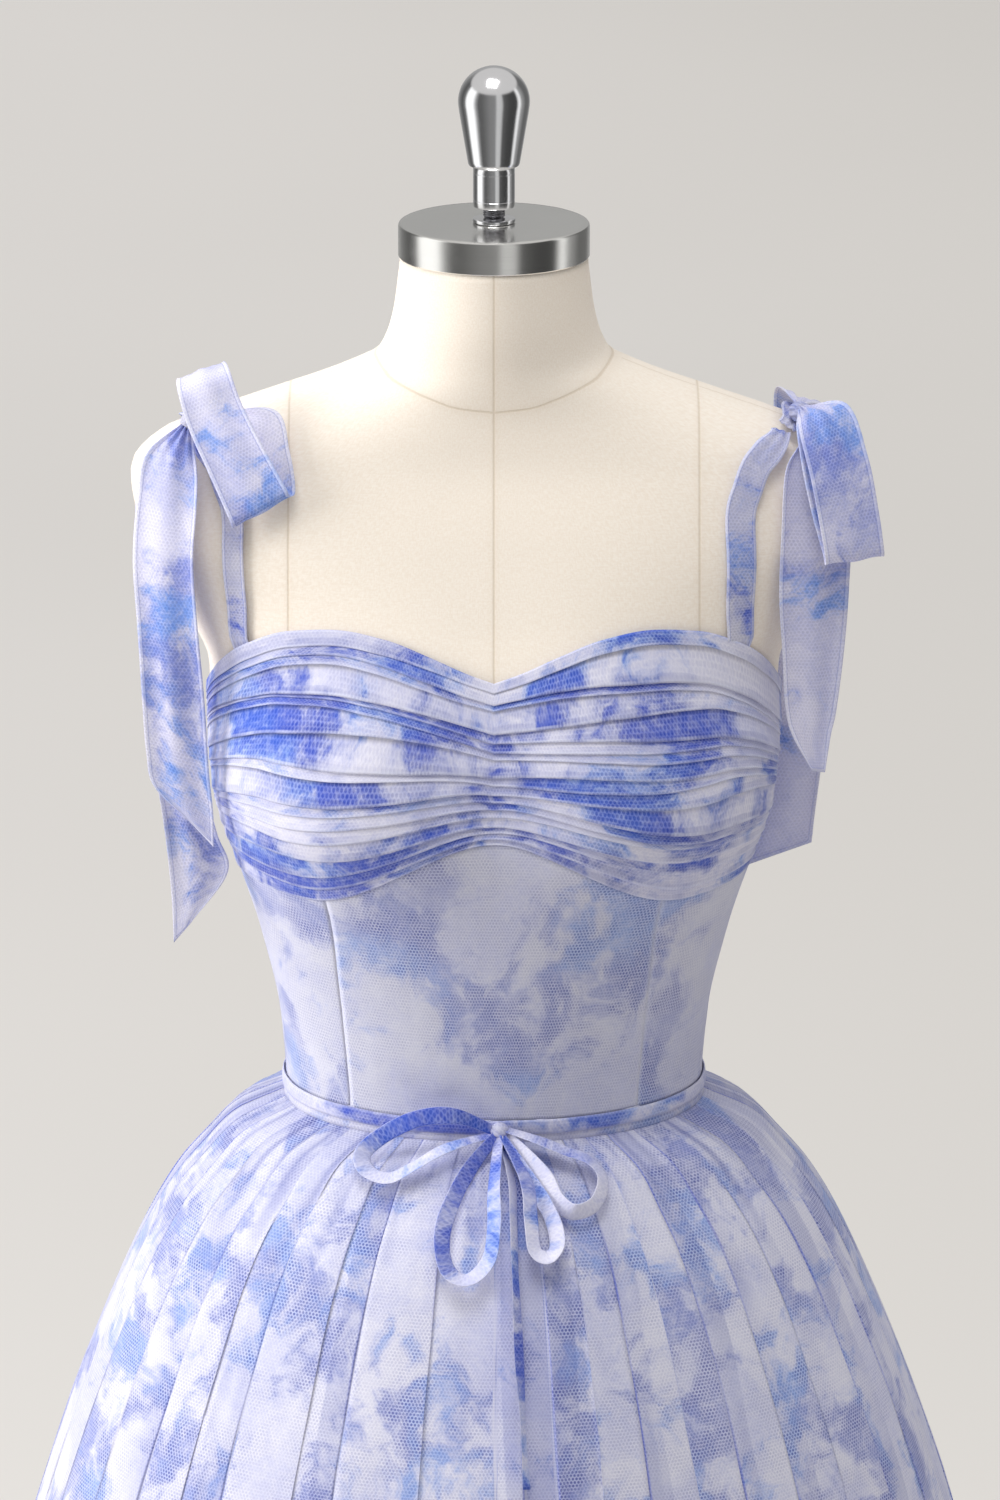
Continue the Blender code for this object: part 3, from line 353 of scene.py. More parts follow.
def makeCloudPrint():
    group, given, out = newGroup(
        "cloudPrint",
        (("Vector", "Vector", None), ("Size", "Float", 0.06), ("Whiteness", "Float", 0.0),
         ("Depth", "Float", 0.5), ("Greyness", "Float", 0.0)),
        (("Color", "Color"), ("Wash", "Float")),
    )
    spot = scaled(group, given["Vector"], maths(group, "DIVIDE", 1.0, given["Size"]))
    bend = vectorMaths(group, "SUBTRACT", noiseOf(group, spot, 1.1, 3.0, 0.55, output="Color"),
                       (0.5, 0.5, 0.5))
    bent = vectorMaths(group, "ADD", spot, vectorMaths(group, "MULTIPLY", bend, (0.9, 0.9, 0.0)))
    feather = maths(group, "SUBTRACT", noiseOf(group, bent, 3.6, 6.0, 0.68), 0.5)
    lobe = addNode(group, "TexVoronoi", {"Vector": bent, "Scale": 2.1, "Detail": 3.0, "Roughness": 0.65,
                                         "Smoothness": 0.5}, feature="SMOOTH_F1", voronoi_dimensions="2D",
                   normalize=True).outputs["Distance"]
    lobe = maths(group, "SUBTRACT", 0.30, lobe)
    feather = timesPlus(group, lobe, 0.55, feather)
    mottle = noiseOf(group, spot, 13.0, 4.0, 0.65)
    shape = timesPlus(group, feather, 0.6, noiseOf(group, bent, 0.85, 2.0, 0.5))
    shape = maths(group, "SUBTRACT", shape, given["Whiteness"])
    halo = times(group, ramp(group, shape, 0.43, 0.56), 0.55)
    wash = ramp(group, shape, 0.49, 0.65)
    hue = noiseOf(group, vectorMaths(group, "ADD", bent, (7.3, 3.1, 0.0)), 0.8, 1.5, 0.5)
    hue = timesPlus(group, feather, 0.3, hue)
    haze = noiseOf(group, vectorMaths(group, "ADD", bent, (-4.7, 9.9, 0.0)), 0.75, 2.0, 0.5)
    haze = timesPlus(group, feather, 0.3, haze)
    paper = colourMix(group, given["Greyness"], printColours["white"], printColours["grey"])
    hazy = maths(group, "MAXIMUM", times(group, ramp(group, haze, 0.44, 0.60), 0.85), halo)
    hazy = times(group, hazy, ramp(group, mottle, 0.3, 0.65, 0.5, 1.0))
    colour = colourMix(group, hazy, paper, printColours["lavender"])
    ink = colourMix(group, ramp(group, hue, 0.47, 0.60), printColours["periwinkle"], printColours["sky"])
    ink = colourMix(group, ramp(group, hue, 0.34, 0.42, 0.6, 0.0), ink, printColours["lavender"])
    strength = times(group, wash, ramp(group, mottle, 0.3, 0.65, 0.62, 1.0))
    colour = colourMix(group, strength, colour, ink)
    pool = times(group, ramp(group, shape, 0.57, 0.70), given["Depth"])
    pool = times(group, pool, ramp(group, mottle, 0.3, 0.6, 0.5, 1.0))
    colour = colourMix(group, pool, colour, printColours["deep"])
    grain = noiseOf(group, spot, 34.0, 3.0, 0.7)
    colour = colourMix(group, ramp(group, grain, 0.35, 0.7, 0.0, 0.16), colour, printColours["periwinkle"],
                       "MULTIPLY")
    group.links.new(colour, out["Color"])
    group.links.new(maths(group, "MAXIMUM", wash, pool), out["Wash"])
    return group


# Net: six-sided meshes of fine thread; two layers lie slightly turned on each other
def makeNetLayer():
    group, given, out = newGroup("netLayer", (("Vector", "Vector", None), ("Cell", "Float", 0.0021)),
                                 (("Thread", "Float"),))
    spot = scaled(group, given["Vector"], maths(group, "DIVIDE", 1.0, given["Cell"]))
    spot = vectorMaths(group, "MULTIPLY", spot, (1.0, 1.0, 0.0))
    half = (0.5, 0.8660254, 0.5)
    less = (-0.5, -0.8660254, -0.5)
    a = vectorMaths(group, "WRAP", spot, half, less)
    b = vectorMaths(group, "WRAP", vectorMaths(group, "ADD", spot, half), half, less)
    a = vectorMaths(group, "MULTIPLY", a, (1.0, 1.0, 0.0))
    b = vectorMaths(group, "MULTIPLY", b, (1.0, 1.0, 0.0))
    nearer = maths(group, "LESS_THAN", vectorMaths(group, "DOT_PRODUCT", a, a, output=1),
                   vectorMaths(group, "DOT_PRODUCT", b, b, output=1))
    step = scaled(group, vectorMaths(group, "SUBTRACT", a, b), nearer)
    nearest = vectorMaths(group, "ABSOLUTE", vectorMaths(group, "ADD", b, step))
    slant = vectorMaths(group, "DOT_PRODUCT", nearest, (0.5, 0.8660254, 0.0), output=1)
    straight = vectorMaths(group, "DOT_PRODUCT", nearest, (1.0, 0.0, 0.0), output=1)
    gap = maths(group, "SUBTRACT", 0.5, maths(group, "MAXIMUM", slant, straight))
    group.links.new(ramp(group, gap, 0.05, 0.26, 1.0, 0.0), out["Thread"])
    return group


def makeNet(layer):
    group, given, out = newGroup("tulleNet", (("Vector", "Vector", None), ("Cell", "Float", 0.0021)),
                                 (("Thread", "Float"), ("Height", "Float")))
    upper = useGroup(group, layer, {"Vector": given["Vector"], "Cell": given["Cell"]})["Thread"]
    turned = addNode(group, "VectorRotate", {"Vector": given["Vector"], "Angle": radians(8)},
                     rotation_type="Z_AXIS").outputs[0]
    lower = useGroup(group, layer, {"Vector": turned, "Cell": times(group, given["Cell"], 1.09)})["Thread"]
    both = timesPlus(group, upper, 0.75, times(group, lower, 0.25))
    group.links.new(both, out["Thread"])
    group.links.new(upper, out["Height"])
    return group


# Fold lines: a thin line at each fold edge and a denser strip beside it. On the skirt the strip is where the
# cloth lies double; on the bust the light line is a painted highlight on each tuck's lip and the strip is
# painted shade beside it
def makeFoldShade():
    group, given, out = newGroup(
        "foldShade",
        (("Color", "Color", None), ("Distance", "Float", 1.0), ("Vector", "Vector", None),
         ("Line", "Color", None), ("Crease", "Float", 1.0), ("Line Share", "Float", 0.6),
         ("Strip", "Float", 0.014), ("Strip Share", "Float", 0.3)),
        (("Color", "Color"),),
    )
    slow = noiseOf(group, vectorMaths(group, "MULTIPLY", given["Vector"], (40.0, 6.0, 0.0)), 1.0, 2.0)
    width = times(group, given["Strip"], ramp(group, slow, 0.3, 0.7, 0.7, 1.25))
    beside = maths(group, "SUBTRACT", given["Distance"], width)
    double = times(group, ramp(group, beside, -0.0005, 0.0005, 1.0, 0.0),
                   ramp(group, slow, 0.38, 0.6, 0.25, 1.0))
    share = times(group, times(group, double, given["Strip Share"]), given["Crease"])
    # the strip: cloth lying double on the skirt, painted shade on the bust
    tinted = colourMix(group, share, given["Color"], rgb(168, 175, 212), "MULTIPLY")
    patchy = noiseOf(group, vectorMaths(group, "MULTIPLY", given["Vector"], (50.0, 14.0, 0.0)), 1.0, 3.0)
    # the line: a fold edge on the skirt, a painted highlight on the bust's tuck lips
    line = times(group, ramp(group, given["Distance"], 0.0004, 0.0015, 1.0, 0.0),
                 ramp(group, patchy, 0.42, 0.62, 0.35, 1.0))
    line = times(group, line, given["Crease"])
    tinted = colourMix(group, times(group, line, given["Line Share"]), tinted, given["Line"])
    group.links.new(tinted, out["Color"])
    return group


cloudPrint = makeCloudPrint()
tulleNet = makeNet(makeNetLayer())
foldShade = makeFoldShade()


def clothVector(tree, offset=(0.0, 0.0, 0.0)):
    spot = addNode(tree, "UVMap", uv_map="cloth").outputs[0]
    return spot, vectorMaths(tree, "ADD", spot, offset)


def makeTulle(name, size=0.06, whiteness=0.0, depth=0.5, greyness=0.3, offset=(0, 0, 0), net=0.6,
              stretch=(1.0, 1.0, 1.0), fold=None, sheer=None, edgeWidth=None, shadeOf=None, seamOf=None,
              greyShade=0.0, saturation=1.0, brightness=1.0):
    material, tree, shader = newMaterial(name)
    cloth, moved = clothVector(tree, offset)
    drawn = vectorMaths(tree, "MULTIPLY", moved, stretch)
    dyed = useGroup(tree, cloudPrint, {
        "Vector": drawn, "Size": size, "Whiteness": whiteness, "Depth": depth, "Greyness": greyness,
    })
    threads = useGroup(tree, tulleNet, {"Vector": cloth, "Cell": 0.0021})
    colour = dyed["Color"]
    patch = ramp(tree, noiseOf(tree, moved, 38.0, 2.0), 0.36, 0.6, 0.45, 1.0)
    patch = times(tree, patch, timesPlus(tree, dyed["Wash"], 0.55, 0.45))
    patch = times(tree, patch, net)
    threadShare = times(tree, times(tree, threads["Thread"], patch), 0.28)
    meshShare = times(tree, maths(tree, "SUBTRACT", 1.0, threads["Thread"]), patch)
    # painted shade: greys the colour towards a dull lavender grey
    if greyShade:
        colour = colourMix(tree, greyShade, colour, rgb(186, 188, 202))
    if saturation != 1.0 or brightness != 1.0:
        colour = addNode(tree, "HueSaturation", {
            "Color": colour, "Saturation": saturation, "Value": brightness,
        }).outputs[0]
    # painted shade: darkens the cloth where the piece's shade attribute is set
    if shadeOf:
        deeper = attributeOf(tree, shadeOf)
        colour = colourMix(tree, deeper, colour, rgb(172, 178, 216), "MULTIPLY")
    if fold:
        distance = attributeOf(tree, "fold")
        colour = useGroup(tree, foldShade, {
            "Color": colour, "Distance": distance, "Vector": cloth, "Line": fold["line"],
            "Line Share": fold["lineShare"], "Strip Share": fold["stripShare"],
            "Crease": attributeOf(tree, "crease"),
            "Strip": attributeOf(tree, "strip"),
        })["Color"]
    colour = colourMix(tree, meshShare, colour, rgb(170, 172, 206), "MULTIPLY")
    colour = colourMix(tree, threadShare, colour, rgb(232, 233, 248))
    if seamOf:
        seam = attributeOf(tree, seamOf)
        colour = colourMix(tree, times(tree, seam, 0.45), colour, rgb(232, 233, 247))
    if sheer is not None:
        rim = attributeOf(tree, "rim")
        edge = ramp(tree, rim, edgeWidth * 0.8, edgeWidth, 1.0, 0.0)
        line = ramp(tree, maths(tree, "ABSOLUTE", maths(tree, "SUBTRACT", rim, edgeWidth)), 0.0001, 0.0005,
                    1.0, 0.0)
        colour = colourMix(tree, times(tree, edge, 0.3), colour, rgb(232, 233, 248))
        colour = colourMix(tree, times(tree, line, 0.35), colour, rgb(110, 126, 208))
        cover = timesPlus(tree, dyed["Wash"], 0.16, sheer)
        cover = timesPlus(tree, threads["Thread"], 0.10, cover)
        cover = timesPlus(tree, edge, 0.2, cover, clamp=True)
        tree.links.new(cover, shader.inputs["Alpha"])
    tree.links.new(colour, shader.inputs["Base Color"])
    bumped = addNode(tree, "Bump", {"Height": threads["Height"], "Strength": 0.35, "Distance": 0.00012})
    tree.links.new(bumped.outputs[0], shader.inputs["Normal"])
    setShader(shader, Roughness=0.72, Sheen_Weight=0.2, Sheen_Roughness=0.4, Specular_IOR_Level=0.25)
    shader.inputs["Sheen Tint"].default_value = rgb(235, 236, 255)
    return material


pleatFold = {"line": rgb(84, 104, 208), "lineShare": 0.75, "stripShare": 0.5}
# the bust's tucks: a painted highlight along each lip and a strip of painted shade beside it
tuckHighlightShade = {"line": rgb(226, 229, 248), "lineShare": 0.55, "stripShare": 0.35}

skirtTulle = makeTulle("skirtTulle", size=0.062, whiteness=-0.025, depth=0.1, greyness=0.35, net=1.0,
                       fold=pleatFold, shadeOf="shade")
# painted shade: the midriff's colour is greyed towards a dull lavender grey, with a high greyness as well,
# for the cloth in shade under the bust
midriffTulle = makeTulle("midriffTulle", size=0.075, whiteness=-0.04, depth=0.1, greyness=0.6, net=1.0,
                         offset=(0.31, 0.12, 0.0), seamOf="seam", greyShade=0.24, brightness=1.06)
bustTulle = makeTulle("bustTulle", size=0.05, whiteness=-0.07, depth=0.75, greyness=0.1, net=0.5,
                      offset=(0.05, 0.43, 0.0), stretch=(0.75, 1.0, 1.0), fold=tuckHighlightShade,
                      saturation=1.12)
tieTulle = makeTulle("tieTulle", size=0.08, whiteness=-0.09, depth=0.75, greyness=0.1, net=0.5,
                     offset=(0.9, 0.2, 0.0), seamOf="rimShade", saturation=1.15)
bandTulle = makeTulle("bandTulle", size=0.05, whiteness=0.0, depth=0.1, greyness=0.3, net=0.7,
                      offset=(2.9, 0.7, 0.0))
# painted light: the shoulder bows' ribbons are lightened as a whole, standing in for light through the sheer
# cloth
ribbonTulle = makeTulle("ribbonTulle", size=0.055, whiteness=-0.025, depth=0.14, greyness=0.0, net=0.4,
                        offset=(0.4, 1.3, 0.0), sheer=0.66, edgeWidth=0.0022, saturation=1.22,
                        brightness=1.17)
strapTulle = makeTulle("strapTulle", size=0.05, whiteness=-0.07, depth=0.6, greyness=0.2, net=0.4,
                       offset=(1.4, 0.3, 0.0), sheer=0.75, edgeWidth=0.0016, saturation=1.2)


# Linen of the form: cream, with a plain weave, slubs and stitched seams
def makeLinen():
    material, tree, shader = newMaterial("formLinen")
    spot = addNode(tree, "TexCoord").outputs["Object"]
    cloth = addNode(tree, "UVMap", uv_map="cloth").outputs[0]
    parts = addNode(tree, "SeparateXYZ", {0: cloth}).outputs
    threads = []
    for part in (parts[0], parts[1]):
        wave = maths(tree, "SINE", times(tree, part, 2 * pi / 0.0009))
        threads.append(maths(tree, "ABSOLUTE", wave))
    weave = times(tree, threads[0], threads[1])
    warpSlub = noiseOf(tree, vectorMaths(tree, "MULTIPLY", cloth, (1100.0, 380.0, 0.0)), 1.0, 2.0)
    weftSlub = noiseOf(tree, vectorMaths(tree, "MULTIPLY", cloth, (380.0, 1100.0, 0.0)), 1.0, 2.0)
    slub = times(tree, maths(tree, "ADD", warpSlub, weftSlub), 0.5)
    colour = colourMix(tree, ramp(tree, slub, 0.36, 0.66), rgb(245, 234, 220), rgb(252, 244, 233))
    colour = colourMix(tree, times(tree, weave, 0.06), colour, rgb(214, 198, 176), "MULTIPLY")
    stain = noiseOf(tree, spot, 7.0, 3.0)
    colour = colourMix(tree, ramp(tree, stain, 0.45, 0.8, 0.0, 0.10), colour, rgb(228, 212, 190))
    seams = addNode(tree, "Attribute", attribute_name="seams").outputs["Vector"]
    seam = addNode(tree, "SeparateXYZ", {0: seams}).outputs
    centre = addNode(tree, "SeparateXYZ", {0: spot}).outputs[0]
    nearest = maths(tree, "MINIMUM", maths(tree, "ABSOLUTE", seam[0]), maths(tree, "ABSOLUTE", seam[1]))
    nearest = maths(tree, "MINIMUM", nearest, maths(tree, "ABSOLUTE", seam[2]))
    nearest = maths(tree, "MINIMUM", nearest, maths(tree, "ABSOLUTE", centre))
    line = ramp(tree, nearest, 0.0002, 0.0009, 1.0, 0.0)
    pressed = ramp(tree, nearest, 0.0008, 0.0045, 1.0, 0.0)
    colour = colourMix(tree, times(tree, pressed, 0.12), colour, rgb(226, 210, 188))
    colour = colourMix(tree, times(tree, line, 0.4), colour, rgb(196, 176, 150))
    tree.links.new(colour, shader.inputs["Base Color"])
    height = timesPlus(tree, line, -1.6, times(tree, weave, 0.35))
    height = timesPlus(tree, slub, 0.5, height)
    bumped = addNode(tree, "Bump", {"Height": height, "Strength": 0.4, "Distance": 0.0002})
    tree.links.new(bumped.outputs[0], shader.inputs["Normal"])
    setShader(shader, Roughness=0.85, Sheen_Weight=0.15, Specular_IOR_Level=0.2)
    return material


formLinen = makeLinen()


# Metals: fine lathe lines round the axis, and a little wear along the edges
def makeMetal(name, colour, roughness, brushed, dark=0.6):
    material, tree, shader = newMaterial(name)
    spot = addNode(tree, "TexCoord").outputs["Object"]
    lathe = noiseOf(tree, vectorMaths(tree, "MULTIPLY", spot, (4.0, 4.0, 5200.0)), 1.0, 3.0, 0.7)
    flat = noiseOf(tree, vectorMaths(tree, "MULTIPLY", spot, (60.0, 60.0, 60.0)), 1.0, 3.0, 0.6)
    darker = tuple(part * dark for part in colour[:3]) + (1.0,)
    tone = colourMix(tree, times(tree, ramp(tree, lathe, 0.3, 0.7), brushed), colour, darker)
    tree.links.new(tone, shader.inputs["Base Color"])
    rough = timesPlus(tree, lathe, brushed * 0.25, roughness)
    rough = timesPlus(tree, ramp(tree, flat, 0.5, 0.8), 0.05, rough)
    tree.links.new(rough, shader.inputs["Roughness"])
    bumped = addNode(tree, "Bump", {"Height": lathe, "Strength": 0.25 * brushed + 0.02, "Distance": 0.00005})
    tree.links.new(bumped.outputs[0], shader.inputs["Normal"])
    shader.inputs["Metallic"].default_value = 1.0
    return material


brushedSteel = makeMetal("brushedSteel", rgb(244, 243, 240), 0.15, 0.3, 0.72)
studSteel = makeMetal("studSteel", rgb(150, 150, 154), 0.3, 0.1)
polishedChrome = makeMetal("polishedChrome", rgb(242, 242, 244), 0.12, 0.10, 0.7)
zipLacquer = makeMetal("zipLacquer", rgb(176, 178, 214), 0.35, 0.15)


print("stage: form")


def makeForm():
    columns, rows = formSizes["columns"], formSizes["rows"]

    def heightOf(row):
        return mix(formSizes["low"], formSizes["high"], row / rows)

    mesh = clothGrid(
        columns, rows, lambda c, r: bodyPoint(ringAngle(c, columns), heightOf(r)),
        lambda c, r: (c / columns * 88, heightOf(r) + 30), ring=True,
    )
    seams = mesh.verts.layers.float_vector.new("seams")
    for vertex in mesh.verts:
        height = vertex.co.z / cm - waist["aboveFloor"]
        middle = sectionAt(height)[3] * cm
        angle = abs(atan2(vertex.co.x, middle - vertex.co.y)) * 180 / pi
        side = vertex.co.y - middle if height > 26 else 1.0
        neck = (height - neckSeamAt(angle)[0]) * cm
        princess = abs(vertex.co.x) - formSizes["princessSeam"] * cm
        if neck > 0:
            side = 1.0
        vertex[seams] = (princess, neck, side)
    closeEnds(mesh)
    finishPiece("formTorso", mesh, formLinen, ["form_torso"])


makeForm()


print("stage: stand")
neckMiddle = -1.0
knobHead = [(1.92 * sin(radians(i * 6)), 54.99 + 1.90 * cos(radians(i * 6))) for i in range(1, 16)]
baseDisc = [(mix(4.1, 17.0, i / 8), mix(1.6, 1.2, i / 8)) for i in range(1, 9)]
# outlines as radius and height: those of the neck from the waist, those of the pole and base from the floor
outlines = {
    "cap": ((0.0, 48.4), (4.7, 48.4), (5.0, 48.39), (5.08, 48.36), (5.12, 48.3), (5.14, 48.2), (5.14, 46.66),
            (5.10, 46.6), (0.0, 46.6)),
    "washer": ((0.0, 48.66), (0.98, 48.66), (1.08, 48.645), (1.14, 48.61), (1.15, 48.57), (1.15, 48.47),
               (1.12, 48.43), (0.0, 48.43)),
    "knob": ((0.0, 56.89), *knobHead, (1.91, 54.8), (1.86, 54.4), (1.42, 51.80), (1.39, 51.62),
             (1.34, 51.53), (1.20, 51.47), (1.14, 51.46), (1.12, 51.42), (1.12, 51.18), (1.10, 51.16),
             (1.10, 51.12), (1.12, 51.10), (1.12, 49.70), (1.10, 49.68), (1.10, 49.64), (1.12, 49.62),
             (1.12, 49.33), (1.09, 49.27), (1.04, 49.24), (0.66, 49.24), (0.64, 49.27), (0.64, 50.54),
             (0.0, 50.56)),
    "pole": ((0.0, 77.97), (1.2, 77.97), (1.25, 77.9), (1.25, 1.06), (1.2, 1.0), (0.0, 1.0)),
    "base": ((0.0, 0.97), (1.28, 0.97), (1.28, 4.46), (1.33, 4.5), (2.38, 4.5), (2.52, 4.46), (2.58, 4.38),
             (2.6, 4.28), (2.66, 3.3), (2.78, 2.55), (3.0, 2.12), (3.4, 1.8), (4.1, 1.6),
             *baseDisc, (17.5, 1.13), (17.8, 0.98), (17.95, 0.78), (18.0, 0.55), (18.0, 0.18), (17.95, 0.06),
             (17.85, 0.0), (0.0, 0.0)),
}
# the stud's thread: one turn every 1.25 mm, cut as a helix down a rod
threadSizes = {"steps": 24, "perTurn": 6, "pitch": 0.125, "low": 48.68, "high": 50.5, "radius": 0.60,
               "cut": 0.07}
# the grub screw in the hub, in metres
screwSizes = {"radius": 0.0028, "depth": 0.004, "rim": 0.0011, "sunk": 0.0015, "place": (0.0258, 0, 0.034)}


def makeTurned(name, outline, node, material, middle, steps, base, body=mainBody, sharp=32):
    mesh = turnedMesh(outlines[outline], middle, steps, base)
    sharpen(finishPiece(name, mesh, material, [node], body=body), sharp)


def makeStud():
    s = threadSizes
    turns = int((s["high"] - s["low"]) / s["pitch"])
    rows = turns * s["perTurn"]

    def threadPlace(column, row):
        share = (column % s["steps"]) / s["steps"]
        height = s["low"] + (row / s["perTurn"] + share * (1 if 0 < row < rows else 0)) * s["pitch"]
        crest = abs((row / s["perTurn"]) % 1.0 * 2 - 1)
        radius = s["radius"] - s["cut"] * smoothStep(0.15, 0.85, crest)
        angle = 2 * pi * share
        return metres(radius * cos(angle), neckMiddle + radius * sin(angle), min(height, s["high"]))

    mesh = clothGrid(s["steps"], rows, threadPlace, lambda c, r: (c / s["steps"], r / s["perTurn"]),
                     ring=True)
    closeEnds(mesh)
    finishPiece("neckStud", mesh, studSteel, ["neck_stud"])


def makeHardware():
    waistZ = waist["aboveFloor"]
    makeTurned("neckCap", "cap", "neck_cap", brushedSteel, neckMiddle, 96, waistZ)
    makeTurned("neckWasher", "washer", "neck_washer", polishedChrome, neckMiddle, 64,
               waistZ)
    makeStud()
    makeTurned("neckKnob", "knob", "neck_knob", polishedChrome, neckMiddle, 72, waistZ,
               body="knob", sharp=28)
    makeTurned("standPole", "pole", "stand_pole", polishedChrome, 0.0, 48, 0.0)
    makeTurned("standBase", "base", "stand_base", brushedSteel, 0.0, 120, 0.0)
    screw = bmesh.new()
    s = screwSizes
    bmesh.ops.create_cone(screw, cap_ends=True, segments=24, radius1=s["radius"], radius2=s["radius"],
                          depth=s["depth"])
    top = [face for face in screw.faces if face.normal.z > 0.9]
    bmesh.ops.inset_region(screw, faces=top, thickness=s["rim"])
    bmesh.ops.translate(screw, verts=list({v for f in top for v in f.verts}), vec=(0, 0, -s["sunk"]))
    bmesh.ops.rotate(screw, verts=screw.verts, cent=(0, 0, 0), matrix=Matrix.Rotation(pi / 2, 3, "Y"))
    bmesh.ops.translate(screw, verts=screw.verts, vec=s["place"])
    sharpen(finishPiece("hubScrew", screw, polishedChrome))


makeHardware()


print("stage: bodice")
bodiceSizes = {
    "sideSeam": 84.0, "tucks": 17, "tuckDepth": 0.12, "bustWall": 0.13, "bustColumns": 150,
    "panelLift": 0.105,
    # in metres: the tuck's strip of painted shade beside its lip, and the flat sizes of bust drape, midriff,
    # side fronts and backs
    "tuckShadeStrip": 0.0035, "bustFlat": (0.44, 0.17), "midriffFlat": (0.20, 0.16), "sideFlat": (0.09, 0.13),
    "backFlat": (0.20, 0.21),
    # under the bust: the lowest point's angle and height, the rise to the middle and to the side seam
    "lowAngle": radians(52), "low": 12.85, "rise": 3.9, "sideRise": 0.4,
    # one tuck: share of the way down, and how far out
    "tuck": ((0.0, 0.0), (0.2, 0.12), (0.42, 0.3), (0.64, 0.55), (0.84, 0.82), (0.98, 1.0), (1.04, 0.8),
             (1.02, 0.1)),
    "topEdge": ((0, 25.2), (8, 25.65), (20, 26.5), (33, 27.35), (45, 27.75), (54, 27.55), (63, 26.6),
                (72, 25.1), (84, 23.0), (96, 21.7), (115, 20.7), (150, 20.1), (180, 20.0)),
    "princess": ((0.0, 51.5), (4.0, 50.8), (8.0, 48.8), (14.0, 44.5)),
}
topEdgeAt = smoothTable(bodiceSizes["topEdge"])
princessAt = smoothTable(bodiceSizes["princess"])
sideSeam = radians(bodiceSizes["sideSeam"])


def topEdge(angle):
    return topEdgeAt(round(abs(angle) * 180 / pi, 4))[0]


def underbust(angle):
    s = bodiceSizes
    turn = abs(angle) / s["lowAngle"]
    if turn < 1:
        return s["low"] + s["rise"] * (0.5 + 0.5 * cos(pi * turn))
    side = (abs(angle) - s["lowAngle"]) / (sideSeam - s["lowAngle"])
    return s["low"] + s["sideRise"] * side * side


def makeBustDrape():
    tucks, profile = bodiceSizes["tucks"], bodiceSizes["tuck"]
    columns, perTuck = bodiceSizes["bustColumns"], len(profile)
    rows = tucks * perTuck
    side = sideSeam - 0.0010

    @lru_cache(maxsize=None)
    def lineShares(angle):
        # where each tuck starts, as a share of the way down: uneven, so that some open out and others close
        widths = []
        for i in range(tucks):
            slow, fine = wobble(i * 3.7 + 0.4, angle * 0.5, 2.0), wobble(i * 7.9, angle * 1.6, 5.0)
            widths.append(exp(1.7 * slow + 0.35 * fine) * (1.5 if i in (0, 1) else 0.8 if i > tucks - 3
                                                           else 1.0))
        shares = [0.0]
        for width in widths:
            shares.append(shares[-1] + width / sum(widths))
        gather = smoothStep(radians(46), radians(84), abs(angle))
        return [mix(s, 0.56 + (s - 0.56) * 0.8, gather * (1 - abs(s - 0.5) * 1.7)) if 0 < s < 0.999 else s
                for s in shares]

    def lineShare(index, angle):
        return lineShares(round(angle, 5))[index]

    def parts(row):
        if row == rows:
            return tucks - 1, perTuck - 1
        return row // perTuck, row % perTuck

    def place(column, row):
        angle = mix(-side, side, column / columns)
        low, high = underbust(angle) + 0.015, topEdge(angle)
        tuck, step = parts(row)
        share, level = profile[step]
        upper, lower = lineShare(tuck, angle), lineShare(tuck + 1, angle)
        down = mix(upper, lower, share)
        down = min(down, 1.0)
        width = (lower - upper) * tucks
        fade = min(1.0, (side - abs(angle)) / radians(7))
        depth = bodiceSizes["tuckDepth"] * mix(0.4, 1.0, fade) * min(1.3, 0.35 + 0.65 * width)
        depth *= 1 + 0.35 * wobble(tuck * 2.9, angle * 2.2)
        ripple = 0.015 * wobble(angle * 26, down * 14)
        if tuck == 0:
            depth *= 0.55
        off = layers["bodice"] + bodiceSizes["bustWall"] + depth * level - 0.03 + ripple
        if row == rows:
            off = layers["bodice"] + 0.02
        return onBody(angle, mix(high, low, down), off)

    def clothPlace(column, row):
        angle = mix(-side, side, column / columns)
        tuck, step = parts(row)
        high, low = topEdge(angle), underbust(angle)
        width = (high - low) / tucks
        return angle * 14.2 + 60, 40 - tuck * 1.75 - profile[step][0] * width

    def fold(column, row):
        angle = mix(-side, side, column / columns)
        tuck, step = parts(row)
        width = (lineShare(tuck + 1, angle) - lineShare(tuck, angle)) * (topEdge(angle) - underbust(angle))
        return max(0.0, 0.98 - profile[step][0]) * width * cm if step < 6 else 0.0

    # the fold and strip values place each tuck's painted highlight and painted shade
    mesh = clothGrid(columns, rows, place, clothPlace, {
        "fold": fold, "crease": lambda c, r: 1.0, "strip": lambda c, r: bodiceSizes["tuckShadeStrip"],
    })
    faceOut(mesh)
    piece = finishPiece("bustDrape", mesh, bustTulle, ["bust_drape"])
    addWall(piece, clothWall)


makeBustDrape()


